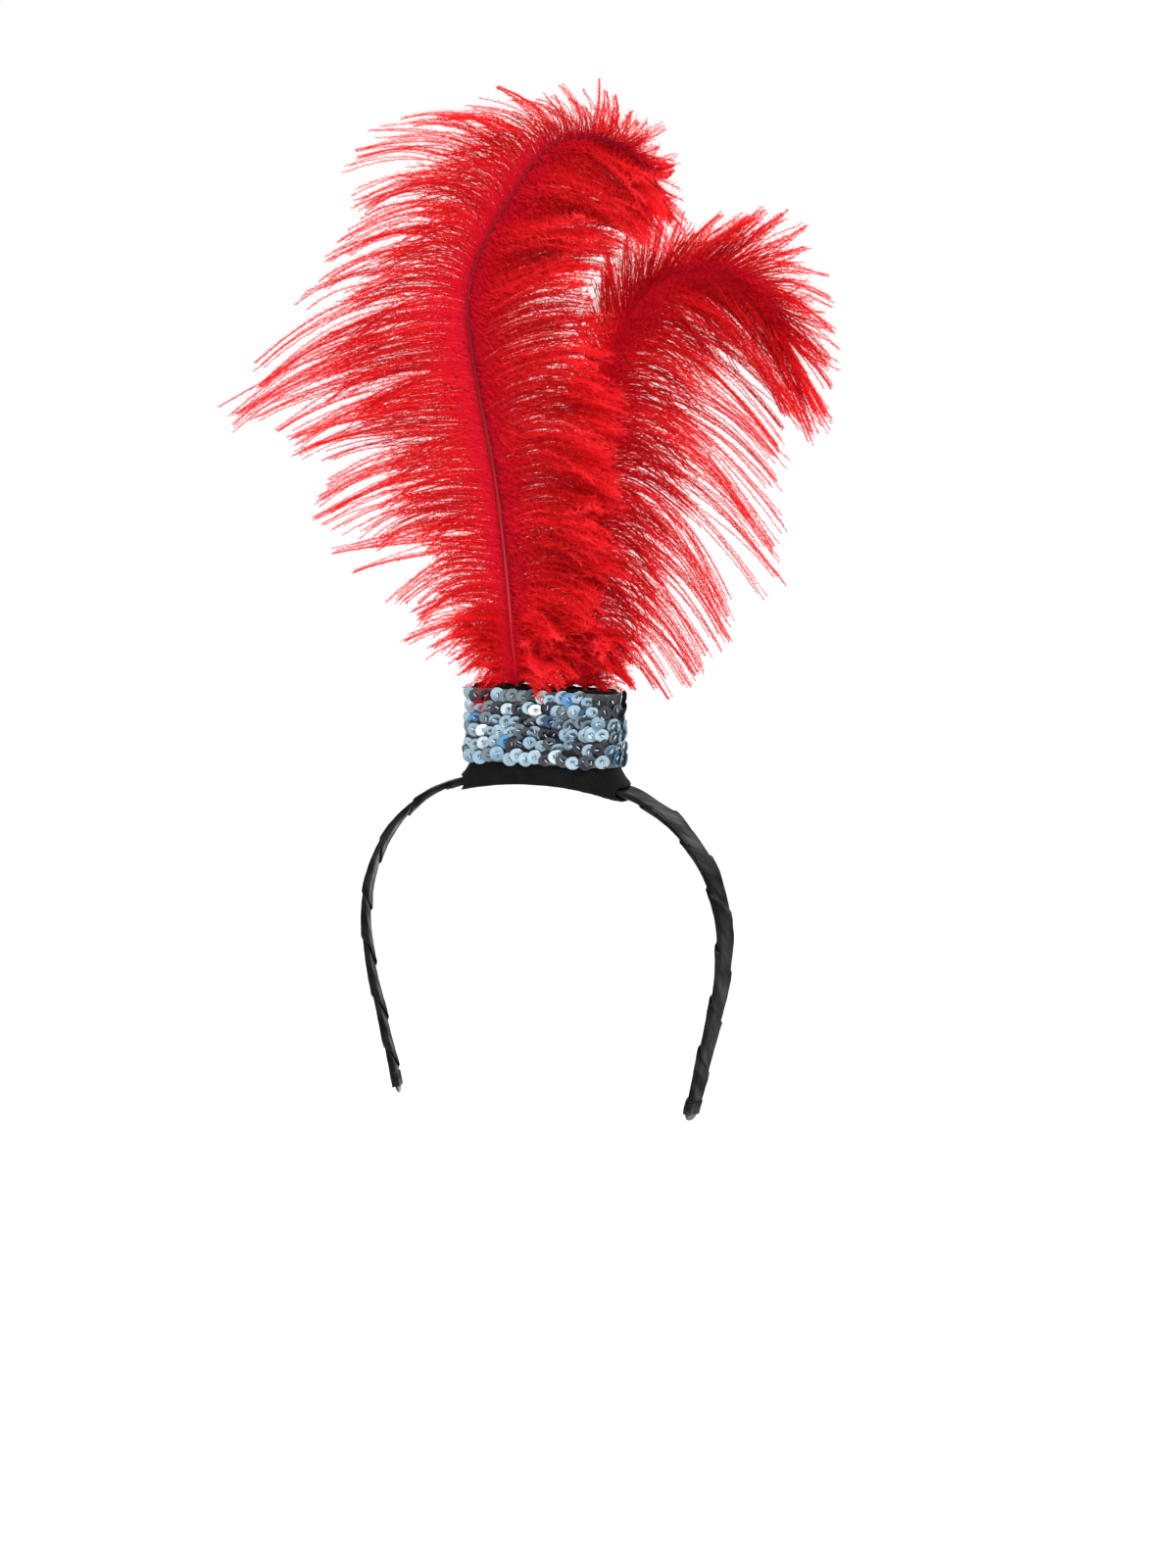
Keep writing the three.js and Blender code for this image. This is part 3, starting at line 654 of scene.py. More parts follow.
def fluff_tree() -> Any:
    """Builds the tree that turns barb lines into tapered barbs with a fluff of one-triangle barbules.

    Returns:
        The tree. Its lines carry `thick`, `fuzz`, `tint` and `shade`.
    """
    tree, given, out = geometry_tree("barbs_and_barbules", {
        "Barbule": "Object", "Barbule Gap": "Float", "Seed": "Int", "Down": "Material",
    })
    seed = given.outputs["Seed"]
    lines = add(tree, "GeometryNodeMeshToCurve", {"Mesh": given.outputs["Geometry"]}).outputs[0]
    section = add(tree, "GeometryNodeCurvePrimitiveCircle", {"Resolution": 3, "Radius": 1.0})
    barbs = add(tree, "GeometryNodeCurveToMesh", {
        "Curve": lines, "Profile Curve": section.outputs["Curve"], "Scale": attribute(tree, "thick"),
        "Fill Caps": True,
    })
    # Painted shade: the barbs' own strands are painted a darker red than their barbules.
    barbs = add(tree, "GeometryNodeStoreNamedAttribute", {
        "Geometry": barbs.outputs[0], "Name": "shade",
        "Value": product(tree, attribute(tree, "shade"), BARB_PAINTED_SHADE),
    }, data_type="FLOAT", domain="POINT")
    dots = add(tree, "GeometryNodeCurveToPoints", {
        "Curve": lines, "Length": given.outputs["Barbule Gap"],
    }, mode="LENGTH")
    length = product(tree, attribute(tree, "fuzz"), chance(tree, 0.5, 1.25, seed))
    fluff = leaning(tree, dots, given.outputs["Barbule"], seed, (-1.0, -0.15), 2 * math.pi, length)
    return delivered(tree, out, given.outputs["Down"], barbs.outputs[0], fluff)


def scatter_tree() -> Any:
    """Builds the tree that sets one shape on each point, turned by `stance`, with a random number stored on
    each, which the sequin film turns into colour and painted reflection.

    Returns:
        The tree.
    """
    tree, given, out = geometry_tree("sewn_on_shapes", {
        "Shape": "Object", "Seed": "Int", "Finish": "Material",
    })
    shape = add(tree, "GeometryNodeObjectInfo", {"Object": given.outputs["Shape"], "As Instance": True})
    stance = add(tree, "FunctionNodeEulerToRotation", {"Euler": attribute(tree, "stance", "FLOAT_VECTOR")})
    made = add(tree, "GeometryNodeInstanceOnPoints", {
        "Points": given.outputs["Geometry"], "Instance": shape.outputs["Geometry"],
        "Rotation": stance.outputs[0],
    })
    # A random colour for each sequin, partly painted reflection.
    toned = add(tree, "GeometryNodeStoreNamedAttribute", {
        "Geometry": made.outputs[0], "Name": "tone", "Value": chance(tree, 0.0, 1.0, given.outputs["Seed"]),
    }, data_type="FLOAT", domain="INSTANCE")
    return delivered(tree, out, given.outputs["Finish"], toned.outputs[0])


def nap_tree() -> Any:
    """Builds the tree that grows short lying fibres out of a surface and keeps the surface.

    Returns:
        The tree.
    """
    tree, given, out = geometry_tree("felt_nap", {
        "Fibre": "Object", "Density": "Float", "Length": "Float", "Seed": "Int", "Finish": "Material",
    })
    seed = given.outputs["Seed"]
    dots = add(tree, "GeometryNodeDistributePointsOnFaces", {
        "Mesh": given.outputs["Geometry"], "Density": given.outputs["Density"], "Seed": seed,
    })
    length = product(tree, given.outputs["Length"], chance(tree, 0.4, 1.3, seed))
    fibres = leaning(tree, dots, given.outputs["Fibre"], seed, (-1.1, -0.25), 6.28, length)
    return delivered(tree, out, given.outputs["Finish"], given.outputs["Geometry"], fibres)


def spike(name: str, width: float) -> bpy.types.Object:
    """Makes a flat spike one metre long for a tree to shorten.

    Args:
        name: the object's name.
        width: its width at the foot, in millimetres.

    Returns:
        The object, which points along X.
    """
    return mesh_object(name, np.array([(0, -width / 2, 0), (0, width / 2, 0), (1 / MM, 0, 0)]), [(0, 2, 1)],
                       smooth=False)


def eased(share: np.ndarray) -> np.ndarray:
    """Eases shares in and out between 0 and 1."""
    held = np.clip(share, 0, 1)
    return held * held * (3 - 2 * held)


def along_table(rows: list, column: str, at: np.ndarray) -> np.ndarray:
    """Draws a smooth curve through one column of a table.

    Args:
        rows: the table, in order of its `at` column.
        column: the column's name.
        at: where the curve is wanted.

    Returns:
        The curve's values there.
    """
    known = np.array([row.at for row in rows], dtype=float)
    values = np.array([getattr(row, column) for row in rows], dtype=float)
    slopes = np.gradient(values, known)
    index = np.clip(np.searchsorted(known, at, side="right") - 1, 0, len(known) - 2)
    width = known[index + 1] - known[index]
    t = np.clip((at - known[index]) / width, 0, 1)
    low, high = values[index], values[index + 1]
    return (
        (2 * t**3 - 3 * t**2 + 1) * low + (t**3 - 2 * t**2 + t) * width * slopes[index]
        + (3 * t**2 - 2 * t**3) * high + (t**3 - t**2) * width * slopes[index + 1]
    )


@dataclass
class Band:
    """The hoop's centre line and the plastic core that follows it."""

    crown_radius: float = 141.0
    shoulder_radius: float = 58.5
    side_radius: float = 110.0
    tip_length: float = 44.0
    crown_turn: float = math.radians(14)
    tip_lean: float = math.radians(14)
    twist: float = math.radians(14)
    thickness: float = 1.3
    crown_width: float = 10.0
    tip_width: float = 7.0
    bare_tip: float = 3.0
    crown_height: float = 3.3
    station: float = 2.0
    section_points: int = 28

    def stretches(self) -> list[tuple[float, float]]:
        """Gives the radius and the turn of each curved stretch from the crown down."""
        return [
            (self.crown_radius, self.crown_turn),
            (self.shoulder_radius, math.pi / 2 - self.crown_turn),
            (self.side_radius, self.tip_lean),
        ]

    def half_length(self) -> float:
        """Gives the length from the crown to one end of the ribbon."""
        return sum(radius * turn for radius, turn in self.stretches()) + self.tip_length

    def frame(self, distance: np.ndarray) -> tuple[np.ndarray, np.ndarray, np.ndarray]:
        """Finds the band's frame at signed distances from the crown.

        Args:
            distance: the distances, positive to the wearer's left.

        Returns:
            The centre, the outward direction and the width direction at each.
        """
        hand = np.where(distance < 0, -1.0, 1.0)
        left = np.abs(distance)
        heading = np.zeros_like(left)
        x = np.zeros_like(left)
        z = np.full_like(left, self.crown_height)
        for radius, turn in self.stretches():
            walked = np.minimum(left, radius * turn)
            end = heading + walked / radius
            x = x + radius * (np.sin(end) - np.sin(heading))
            z = z - radius * (np.cos(heading) - np.cos(end))
            heading = end
            left = left - walked
        x = x + left * np.cos(heading)
        z = z - left * np.sin(heading)
        twist = self.twist * np.minimum(1, heading / (math.pi / 2))
        nothing = np.zeros_like(x)
        flat = np.stack([hand * np.sin(heading), nothing, np.cos(heading)], axis=-1)
        across = np.array([0.0, 1.0, 0.0])
        out = flat * np.cos(twist)[..., None] - across * np.sin(twist)[..., None]
        wide = across * np.cos(twist)[..., None] + flat * np.sin(twist)[..., None]
        return np.stack([hand * x, nothing, z], axis=-1), out, wide

    def width(self, distance: np.ndarray) -> np.ndarray:
        """Gives the core's width at distances from the crown."""
        return self.crown_width + (self.tip_width - self.crown_width) * np.minimum(
            1, np.abs(distance) / self.half_length())

    def section(self, share: np.ndarray, half_width: np.ndarray, half_depth: np.ndarray) -> tuple:
        """Walks round a flat bar with rounded edges.

        Args:
            share: how far round, from 0 to 1, from the middle of the outer face.
            half_width: half the bar's width.
            half_depth: half its thickness, which is also the radius of its edges.

        Returns:
            The place across the width and outwards.
        """
        flat = half_width - half_depth
        edge = math.pi * half_depth
        walked = np.mod(share, 1) * (4 * flat + 2 * edge)
        hand = np.where(walked < 2 * flat + edge, 1.0, -1.0)
        walked = np.where(hand > 0, walked, walked - 2 * flat - edge)
        turn = np.clip((walked - flat) / half_depth, 0, math.pi)
        back = np.clip(walked - flat - edge, 0, flat)
        wide = np.minimum(walked, flat) + half_depth * np.sin(turn) - back
        out = half_depth * np.cos(turn)
        return hand * wide, hand * out

    def surface(self, distance: np.ndarray, share: np.ndarray, grow: Any, narrow: Any = 1.0) -> np.ndarray:
        """Places points round the core.

        Args:
            distance: distances from the crown.
            share: how far round the section each point lies.
            grow: how far out of the core's skin each point lies.
            narrow: the share of the core's size that is left there.

        Returns:
            The points.
        """
        centre, out, wide = self.frame(distance)
        half_width = self.width(distance) / 2 * narrow + grow
        x, z = self.section(share, half_width, self.thickness / 2 * narrow + grow)
        return centre + wide * x[..., None] + out * z[..., None]

    def build(self, finish: MouldedPlastic) -> bpy.types.Object:
        """Makes the plastic core, whose bare tips round off."""
        end = self.half_length() + self.bare_tip
        count = int(2 * end / self.station)
        turn = np.linspace(-math.pi / 2, math.pi / 2, 7)
        tip = 0.5 * self.tip_width
        straight = np.linspace(-end + tip, end - tip, count)
        distance = np.concatenate([
            -end + tip * (1 + np.sin(turn[:3])), straight, end - tip * (1 - np.sin(turn[4:])),
        ])
        past = np.clip((np.abs(distance) - (end - tip)) / tip, 0, 1)
        narrow = np.sqrt(np.clip(1 - past**2.4, 0.02, 1))
        share = np.linspace(0, 1, self.section_points, endpoint=False)
        places = np.broadcast_arrays(distance[:, None], -share[None, :])
        rings = self.surface(*places, 0.0, np.broadcast_to(narrow[:, None], places[0].shape))
        made = mesh_object("hoop_core", *capped(rings))
        return finished(made, finish)


@dataclass
class RibbonWinding:
    """One satin ribbon wound round the core in lapped turns, folded over at both ends."""

    band: Band
    pitch: float = 22.0
    strip_width: float = 30.0
    thickness: float = 0.3
    seat: float = 0.45
    lap_lift: float = 0.78
    steps_per_turn: int = 56
    steps_across: int = 12
    cuff_length: float = 6.0
    cuff_points: int = 36
    stray: float = 2.4
    lap_power: float = 1.6
    edge_dip: float = 0.12
    edge_reach: float = 1.1
    crease_height: float = 0.16
    crease_least: float = 0.35
    crease_waves: tuple[float, float, float, float] = (0.55, 9.0, 2.1, 0.35)
    fold_length: float = 4.5
    fold_round: float = 0.09
    seed: int = 7

    def turns(self) -> int:
        """Gives how many turns the ribbon makes."""
        return round(2 * self.band.half_length() / self.pitch)

    def cut(self) -> tuple[float, float]:
        """Gives the length and the width that the ribbon was cut to, in metres."""
        half = self.band.half_length()
        girth = 2 * float(self.band.width(np.array([half / 2]))[0] + self.band.thickness + 4 * self.seat)
        slanted = math.hypot(girth, 2 * half / self.turns())
        length = self.turns() * slanted + 2 * self.cuff_length
        return length * MM, self.strip_width * girth / slanted * MM

    def drift(self, turn: np.ndarray) -> np.ndarray:
        """Gives how far each turn strays from an even pitch, in millimetres."""
        rng = np.random.default_rng(self.seed)
        known = np.arange(-2, self.turns() + 4)
        return np.interp(turn, known, rng.uniform(-self.stray, self.stray, len(known)))

    def strip(self) -> bpy.types.Object:
        """Makes the wound strip, whose trailing edge lies on the turn before."""
        half = self.band.half_length()
        pitch = 2 * half / self.turns()
        turn = np.arange(-1.5, self.turns() + 0.5, 1 / self.steps_per_turn)
        across = np.linspace(0, 1, self.steps_across) * self.strip_width
        distance = -half + pitch * turn[:, None] + self.drift(turn)[:, None] + across[None, :]
        lapped = np.clip(across / pitch, 0, 1)
        lift = self.lap_lift * (1 - lapped) ** self.lap_power
        lift = lift - self.edge_dip * np.exp(-((across / self.edge_reach) ** 2))
        along, round_hoop, slow_round, slant = self.crease_waves
        crease = self.crease_height * np.sin(distance * along + round_hoop * turn[:, None])
        crease = crease * np.sin(slow_round * turn[:, None] + slant * across)
        grow = self.seat + lift[None, :] + crease * (self.crease_least + lift[None, :])
        grow = grow + self.loose_fold(distance, turn[:, None])
        keep = np.clip(distance, -half, half)
        points = self.band.surface(keep, np.broadcast_to(turn[:, None], keep.shape), grow)
        faces = grid_faces(*keep.shape, closed=False)
        outside = (np.abs(distance) > half).ravel()
        faces = faces[~outside[faces].all(axis=1)]
        made = mesh_object("ribbon_strip", points.reshape(-1, 3), faces)
        places = np.stack(np.broadcast_arrays(turn[:, None] * CLOTH_GIRTH, across[None, :]), axis=-1)
        write_uv(made, places.reshape(-1, 2))
        wall = made.modifiers.new("wall", "SOLIDIFY")
        wall.thickness = self.thickness * MM
        wall.offset = -1
        return applied(made)

    def loose_fold(self, distance: np.ndarray, turn: np.ndarray) -> np.ndarray:
        """Lifts the ribbon where it stands off the outer edge in loose folds."""
        lift = np.zeros(np.broadcast(distance, turn).shape)
        for place, round_share, height in self.folds():
            near = np.mod(turn - round_share + 0.5, 1) - 0.5
            along = (distance - place) / self.fold_length
            lift = lift + height * np.exp(-(along**2) - (near / self.fold_round) ** 2)
        return lift

    def folds(self) -> list[tuple[float, float, float]]:
        """Gives the distance from the crown, the share round and the height of each loose fold."""
        return [
            (58.0, 0.22, 1.1), (41.0, 0.2, 0.5), (84.0, 0.22, 0.6), (-76.0, 0.24, 0.7),
            (-96.0, 0.24, 0.8), (112.0, 0.2, 0.4), (-52.0, 0.22, 0.4),
        ]

    def cuff(self, hand: int) -> bpy.types.Object:
        """Makes the folded end of the ribbon at one tip."""
        half = self.band.half_length()
        past = np.array([0, 0, 0.1, 0.5, 0.9, 1, 1])
        grow = np.array([0.3, 0.75, 0.98, 0.9, 0.92, 0.7, 0.15])
        distance = hand * (half - self.cuff_length * (1 - past))
        share = -hand * np.linspace(0, 1, self.cuff_points, endpoint=False)
        keep, round_share = np.broadcast_arrays(distance[:, None], share[None, :])
        points = self.band.surface(keep, round_share, np.broadcast_to(grow[:, None], keep.shape))
        made = mesh_object("ribbon_cuff", points.reshape(-1, 3), grid_faces(*keep.shape, closed=True))
        places = np.stack(np.broadcast_arrays(share[None, :] * CLOTH_GIRTH, distance[:, None]), axis=-1)
        write_uv(made, places.reshape(-1, 2))
        return made

    def build(self, finish: SatinRibbon) -> bpy.types.Object:
        """Joins the strip and its folded ends."""
        made = joined("satin_winding", [self.strip(), self.cuff(-1), self.cuff(1)])
        return finished(made, finish)


def joined(name: str, parts: list[bpy.types.Object]) -> bpy.types.Object:
    """Joins objects into the first of them."""
    for made in parts:
        made.data.materials.clear()
    with bpy.context.temp_override(active_object=parts[0], selected_editable_objects=parts):
        bpy.ops.object.join()
    parts[0].name = name
    parts[0].data.name = name
    return parts[0]


@dataclass
class Holder:
    """The felt tab on the crown: its outline and its napped skin."""

    width: float = 61.0
    height: float = 38.5
    shift: float = 1.5
    top_depth: float = 9.6
    base_depth: float = 14.9
    skirt_width: float = 72.0
    corner_share: float = 0.8
    voxel: float = 0.8
    weld: float = 0.002
    nap_width: float = 0.06
    nap_length: float = 0.7
    nap_per_mm2: float = 1.8
    look_ahead: float = 0.4
    seed: int = 3

    def rows(self) -> list[HolderRow]:
        """Gives the levels of the holder's outline."""
        return [
            HolderRow(-0.25, 1, 1), HolderRow(0.05, 1, 1), HolderRow(0.1, 0.62, 0.97),
            HolderRow(0.18, 0.28, 0.85), HolderRow(0.3, 0.06, 0.62), HolderRow(0.6, 0, 0.25),
            HolderRow(1, 0, 0),
        ]

    def outline(self, height: float, grow: float, shares: np.ndarray) -> tuple[np.ndarray, np.ndarray]:
        """Walks round the holder at one level.

        Args:
            height: the level.
            grow: how far outside the felt the walk runs.
            shares: how far round, from 0 at the middle of the front, anticlockwise as seen from above.

        Returns:
            The points and the outward directions.
        """
        known = [row.at for row in self.rows()]
        flare = np.interp(height / self.height, known, [row.flare for row in self.rows()])
        depth = np.interp(height / self.height, known, [row.depth for row in self.rows()])
        half_x = (self.width + (self.skirt_width - self.width) * flare) / 2
        half_y = (self.top_depth + (self.base_depth - self.top_depth) * depth) / 2
        corner = half_y * self.corner_share
        turn = np.linspace(0, math.pi / 2, 9)
        quarters = []
        for quarter, (x, y) in enumerate([(1, -1), (1, 1), (-1, 1), (-1, -1)]):
            angle = turn + (quarter - 1) * math.pi / 2
            quarters.append(np.stack([
                x * (half_x - corner) + (corner + grow) * np.cos(angle),
                y * (half_y - corner) + (corner + grow) * np.sin(angle),
            ], axis=-1))
        ring = np.vstack([[(0, -half_y - grow)], *quarters, [(0, -half_y - grow)]])
        walked = np.concatenate([[0], np.cumsum(np.linalg.norm(np.diff(ring, axis=0), axis=1))])
        wanted = np.mod(shares, 1) * walked[-1]
        x, y = (np.interp(wanted, walked, ring[:, axis]) for axis in (0, 1))
        ahead = np.mod(wanted + self.look_ahead, walked[-1])
        next_x, next_y = (np.interp(ahead, walked, ring[:, axis]) for axis in (0, 1))
        tangent = np.stack([next_x - x, next_y - y], axis=-1)
        tangent /= np.linalg.norm(tangent, axis=1, keepdims=True)
        points = np.stack([x + self.shift, y, np.full_like(x, height)], axis=-1)
        return points, np.stack([tangent[:, 1], -tangent[:, 0], np.zeros_like(x)], axis=-1)

    def build(self, solid: bpy.types.Object, finish: CraftFelt) -> bpy.types.Object:
        """Softens a copy of the holder's solid to felt and grows its nap.

        Args:
            solid: the holder's node, which is only copied.
            finish: the felt.

        Returns:
            The felt.
        """
        made = placed("felt_holder", solid.data.copy())
        for kind, settings in (
            ("WELD", {"merge_threshold": self.weld * MM}),
            ("REMESH", {"mode": "VOXEL", "voxel_size": self.voxel * MM, "use_smooth_shade": True}),
            ("SMOOTH", {"factor": 0.5, "iterations": 6}),
        ):
            modifier = made.modifiers.new(kind.lower(), kind)
            for name, value in settings.items():
                setattr(modifier, name, value)
        made = applied(made)
        fibre = spike("felt_fibre", self.nap_width)
        made = grown(made, nap_tree(), {
            "Fibre": fibre, "Density": self.nap_per_mm2 / MM**2, "Length": self.nap_length * MM,
            "Seed": self.seed, "Finish": finish.material(),
        })
        bpy.data.objects.remove(fibre)
        return made


@dataclass
class SequinTrim:
    """The strip of cup sequins sewn round the holder, lapping along the rows and downwards."""

    holder: Holder
    base: float = 8.5
    height: float = 28.6
    backing: float = 0.8
    clearance: float = 0.3
    diameter: float = 6.0
    rows: int = 6
    column_gap: float = 4.05
    lap_degrees: float = 15.0
    drop_degrees: float = 13.0
    stray_degrees: float = 9.0
    dish: float = 0.22
    film: float = 0.12
    sides: int = 14
    sequin_lift: float = 0.75
    stitch_lift: float = 0.95
    thread_radius: float = 0.13
    inset_share: float = 0.42
    share_stray: float = 0.22
    height_stray: float = 1.15
    net_points: int = 96
    tone_and_reflection_seed: int = 4
    seed: int = 11

    def sequin(self) -> bpy.types.Object:
        """Makes one cup sequin that faces along Z: a dished disc with a rolled rim round a centre hole."""
        radius = self.diameter / 2
        profile = [
            (0.1, 0.0), (0.62, 0.25 * self.dish), (0.9, self.dish), (1.0, self.dish + 0.06),
            (0.98, self.dish - self.film), (0.6, 0.25 * self.dish - self.film), (0.1, -self.film),
        ]
        turn = np.linspace(0, 2 * math.pi, self.sides, endpoint=False)
        rings = np.array([
            [(r * radius * math.cos(a), r * radius * math.sin(a), z) for a in turn] for r, z in profile
        ])
        rings = np.concatenate([rings, rings[:1]])
        faces = grid_faces(len(rings), self.sides, closed=True) % (len(profile) * self.sides)
        return mesh_object("sequin_shape", rings[:-1].reshape(-1, 3), faces[:, ::-1])

    def stitch(self) -> bpy.types.Object:
        """Makes the short stitch of thread that crosses the centre hole to the rim."""
        turn = np.linspace(0, 2 * math.pi, 5, endpoint=False)
        radius = self.thread_radius
        rings = np.array([
            [(along, radius * math.cos(a), lift + radius * math.sin(a)) for a in turn]
            for along, lift in [(-0.35, -0.1), (-0.1, 0.12), (0.7, 0.2), (1.25, 0.14)]
        ])
        return mesh_object("stitch_shape", *capped(rings))

    def seats(self, name: str, lift: float) -> bpy.types.Object:
        """Places a point for each sequin with the way that it faces.

        Args:
            name: the object's name.
            lift: how far out of the backing the points lie.

        Returns:
            The points, with their turns as `stance`.
        """
        rng = np.random.default_rng(self.seed)
        points, stances = [], []
        inset = self.inset_share * self.diameter
        for row in range(self.rows):
            level = self.base + inset + row * (self.height - 2 * inset) / (self.rows - 1)
            girth = self.girth(level)
            count = round(girth / self.column_gap)
            even = np.arange(count) + 0.5 * (row % 2)
            shares = (even + rng.uniform(-self.share_stray, self.share_stray, count)) / count
            heights = level + rng.uniform(-self.height_stray, self.height_stray, count)
            places, outs = self.holder.outline(level, self.clearance + self.backing, shares)
            for place, out, height in zip(places, outs, heights):
                place[2] = height
                facing = Vector(out)
                along = Vector((0, 0, 1)).cross(facing)
                basis = Matrix((along, Vector((0, 0, 1)), facing)).transposed()
                stray = rng.normal(0, math.radians(self.stray_degrees), 2)
                lap = Matrix.Rotation(math.radians(self.lap_degrees) + stray[0], 3, "Y")
                drop = Matrix.Rotation(math.radians(self.drop_degrees) + stray[1], 3, "X")
                spin = Matrix.Rotation(rng.uniform(0, 2 * math.pi), 3, "Z")
                stances.append((basis @ lap @ drop @ spin).to_euler("XYZ"))
                points.append(np.array(place) + np.array(out) * lift)
        made = mesh_object(name, np.array(points), [])
        made.data.attributes.new("stance", "FLOAT_VECTOR", "POINT").data.foreach_set(
            "vector", np.array([tuple(turn) for turn in stances], dtype=np.float32).ravel())
        return made

    def girth(self, level: float) -> float:
        """Measures the way round the backing at a level."""
        shares = np.linspace(0, 1, 160)
        points, _ = self.holder.outline(level, self.clearance + self.backing, shares)
        return float(np.linalg.norm(np.diff(points, axis=0), axis=1).sum())

    def sleeve(self) -> bpy.types.Object:
        """Makes the elastic net that the sequins are sewn to."""
        shares = np.linspace(0, 1, self.net_points, endpoint=False)
        levels = [(0.4, 0.1), (0.0, 0.6), (0.4, 1.0), (0.5, 1.0), (0.6, 1.0), (1.0, 0.6), (0.6, 0.1)]
        rings = np.array([
            self.holder.outline(self.base + at * self.height, self.clearance + self.backing * out, shares)[0]
            for at, out in levels
        ])
        faces = grid_faces(len(rings), self.net_points, closed=True)
        return mesh_object("sequin_net", rings.reshape(-1, 3), faces)

    def build(self, film: MetallisedFilm, net: SewingThread, thread: SewingThread) -> list[bpy.types.Object]:
        """Sews the sequins on.

        Args:
            film: the finish of the sequins.
            net: the finish of what they are sewn to.
            thread: the finish of the stitches.

        Returns:
            The sequins, the stitches and the net.
        """
        tree = scatter_tree()
        shapes = [self.sequin(), self.stitch()]
        made = [
            grown(self.seats(name, lift), tree, {
                "Shape": shape, "Seed": self.tone_and_reflection_seed, "Finish": finish.material(),
            })
            for name, lift, shape, finish in (
                ("cup_sequins", self.sequin_lift, shapes[0], film),
                ("sequin_stitches", self.stitch_lift, shapes[1], thread),
            )
        ]
        made.append(finished(self.sleeve(), net))
        for shape in shapes:
            bpy.data.objects.remove(shape)
        return made


@dataclass
class Vane:
    """The barbs on one side of a plume's shaft, or the short down at its foot."""

    side: Side
    rows: list[VaneRow]
    barb_gap: float = 0.75
    barbule_gap: float = 0.13
    strand: tuple[int, int] = (2, 8)
    grip: tuple[float, float] = (0.4, 0.9)
    grip_start: float = 0.45
    droop: float = 0.08
    wave: float = 2.8
    fuzz: float = 4.6
    tip_fuzz: float = 1.5
    span: tuple[float, float] = (0.006, 1.0)
    steps: int = 15
    thickness: float = 1.0
    puff: float = 0.035
    name: str = "vane"


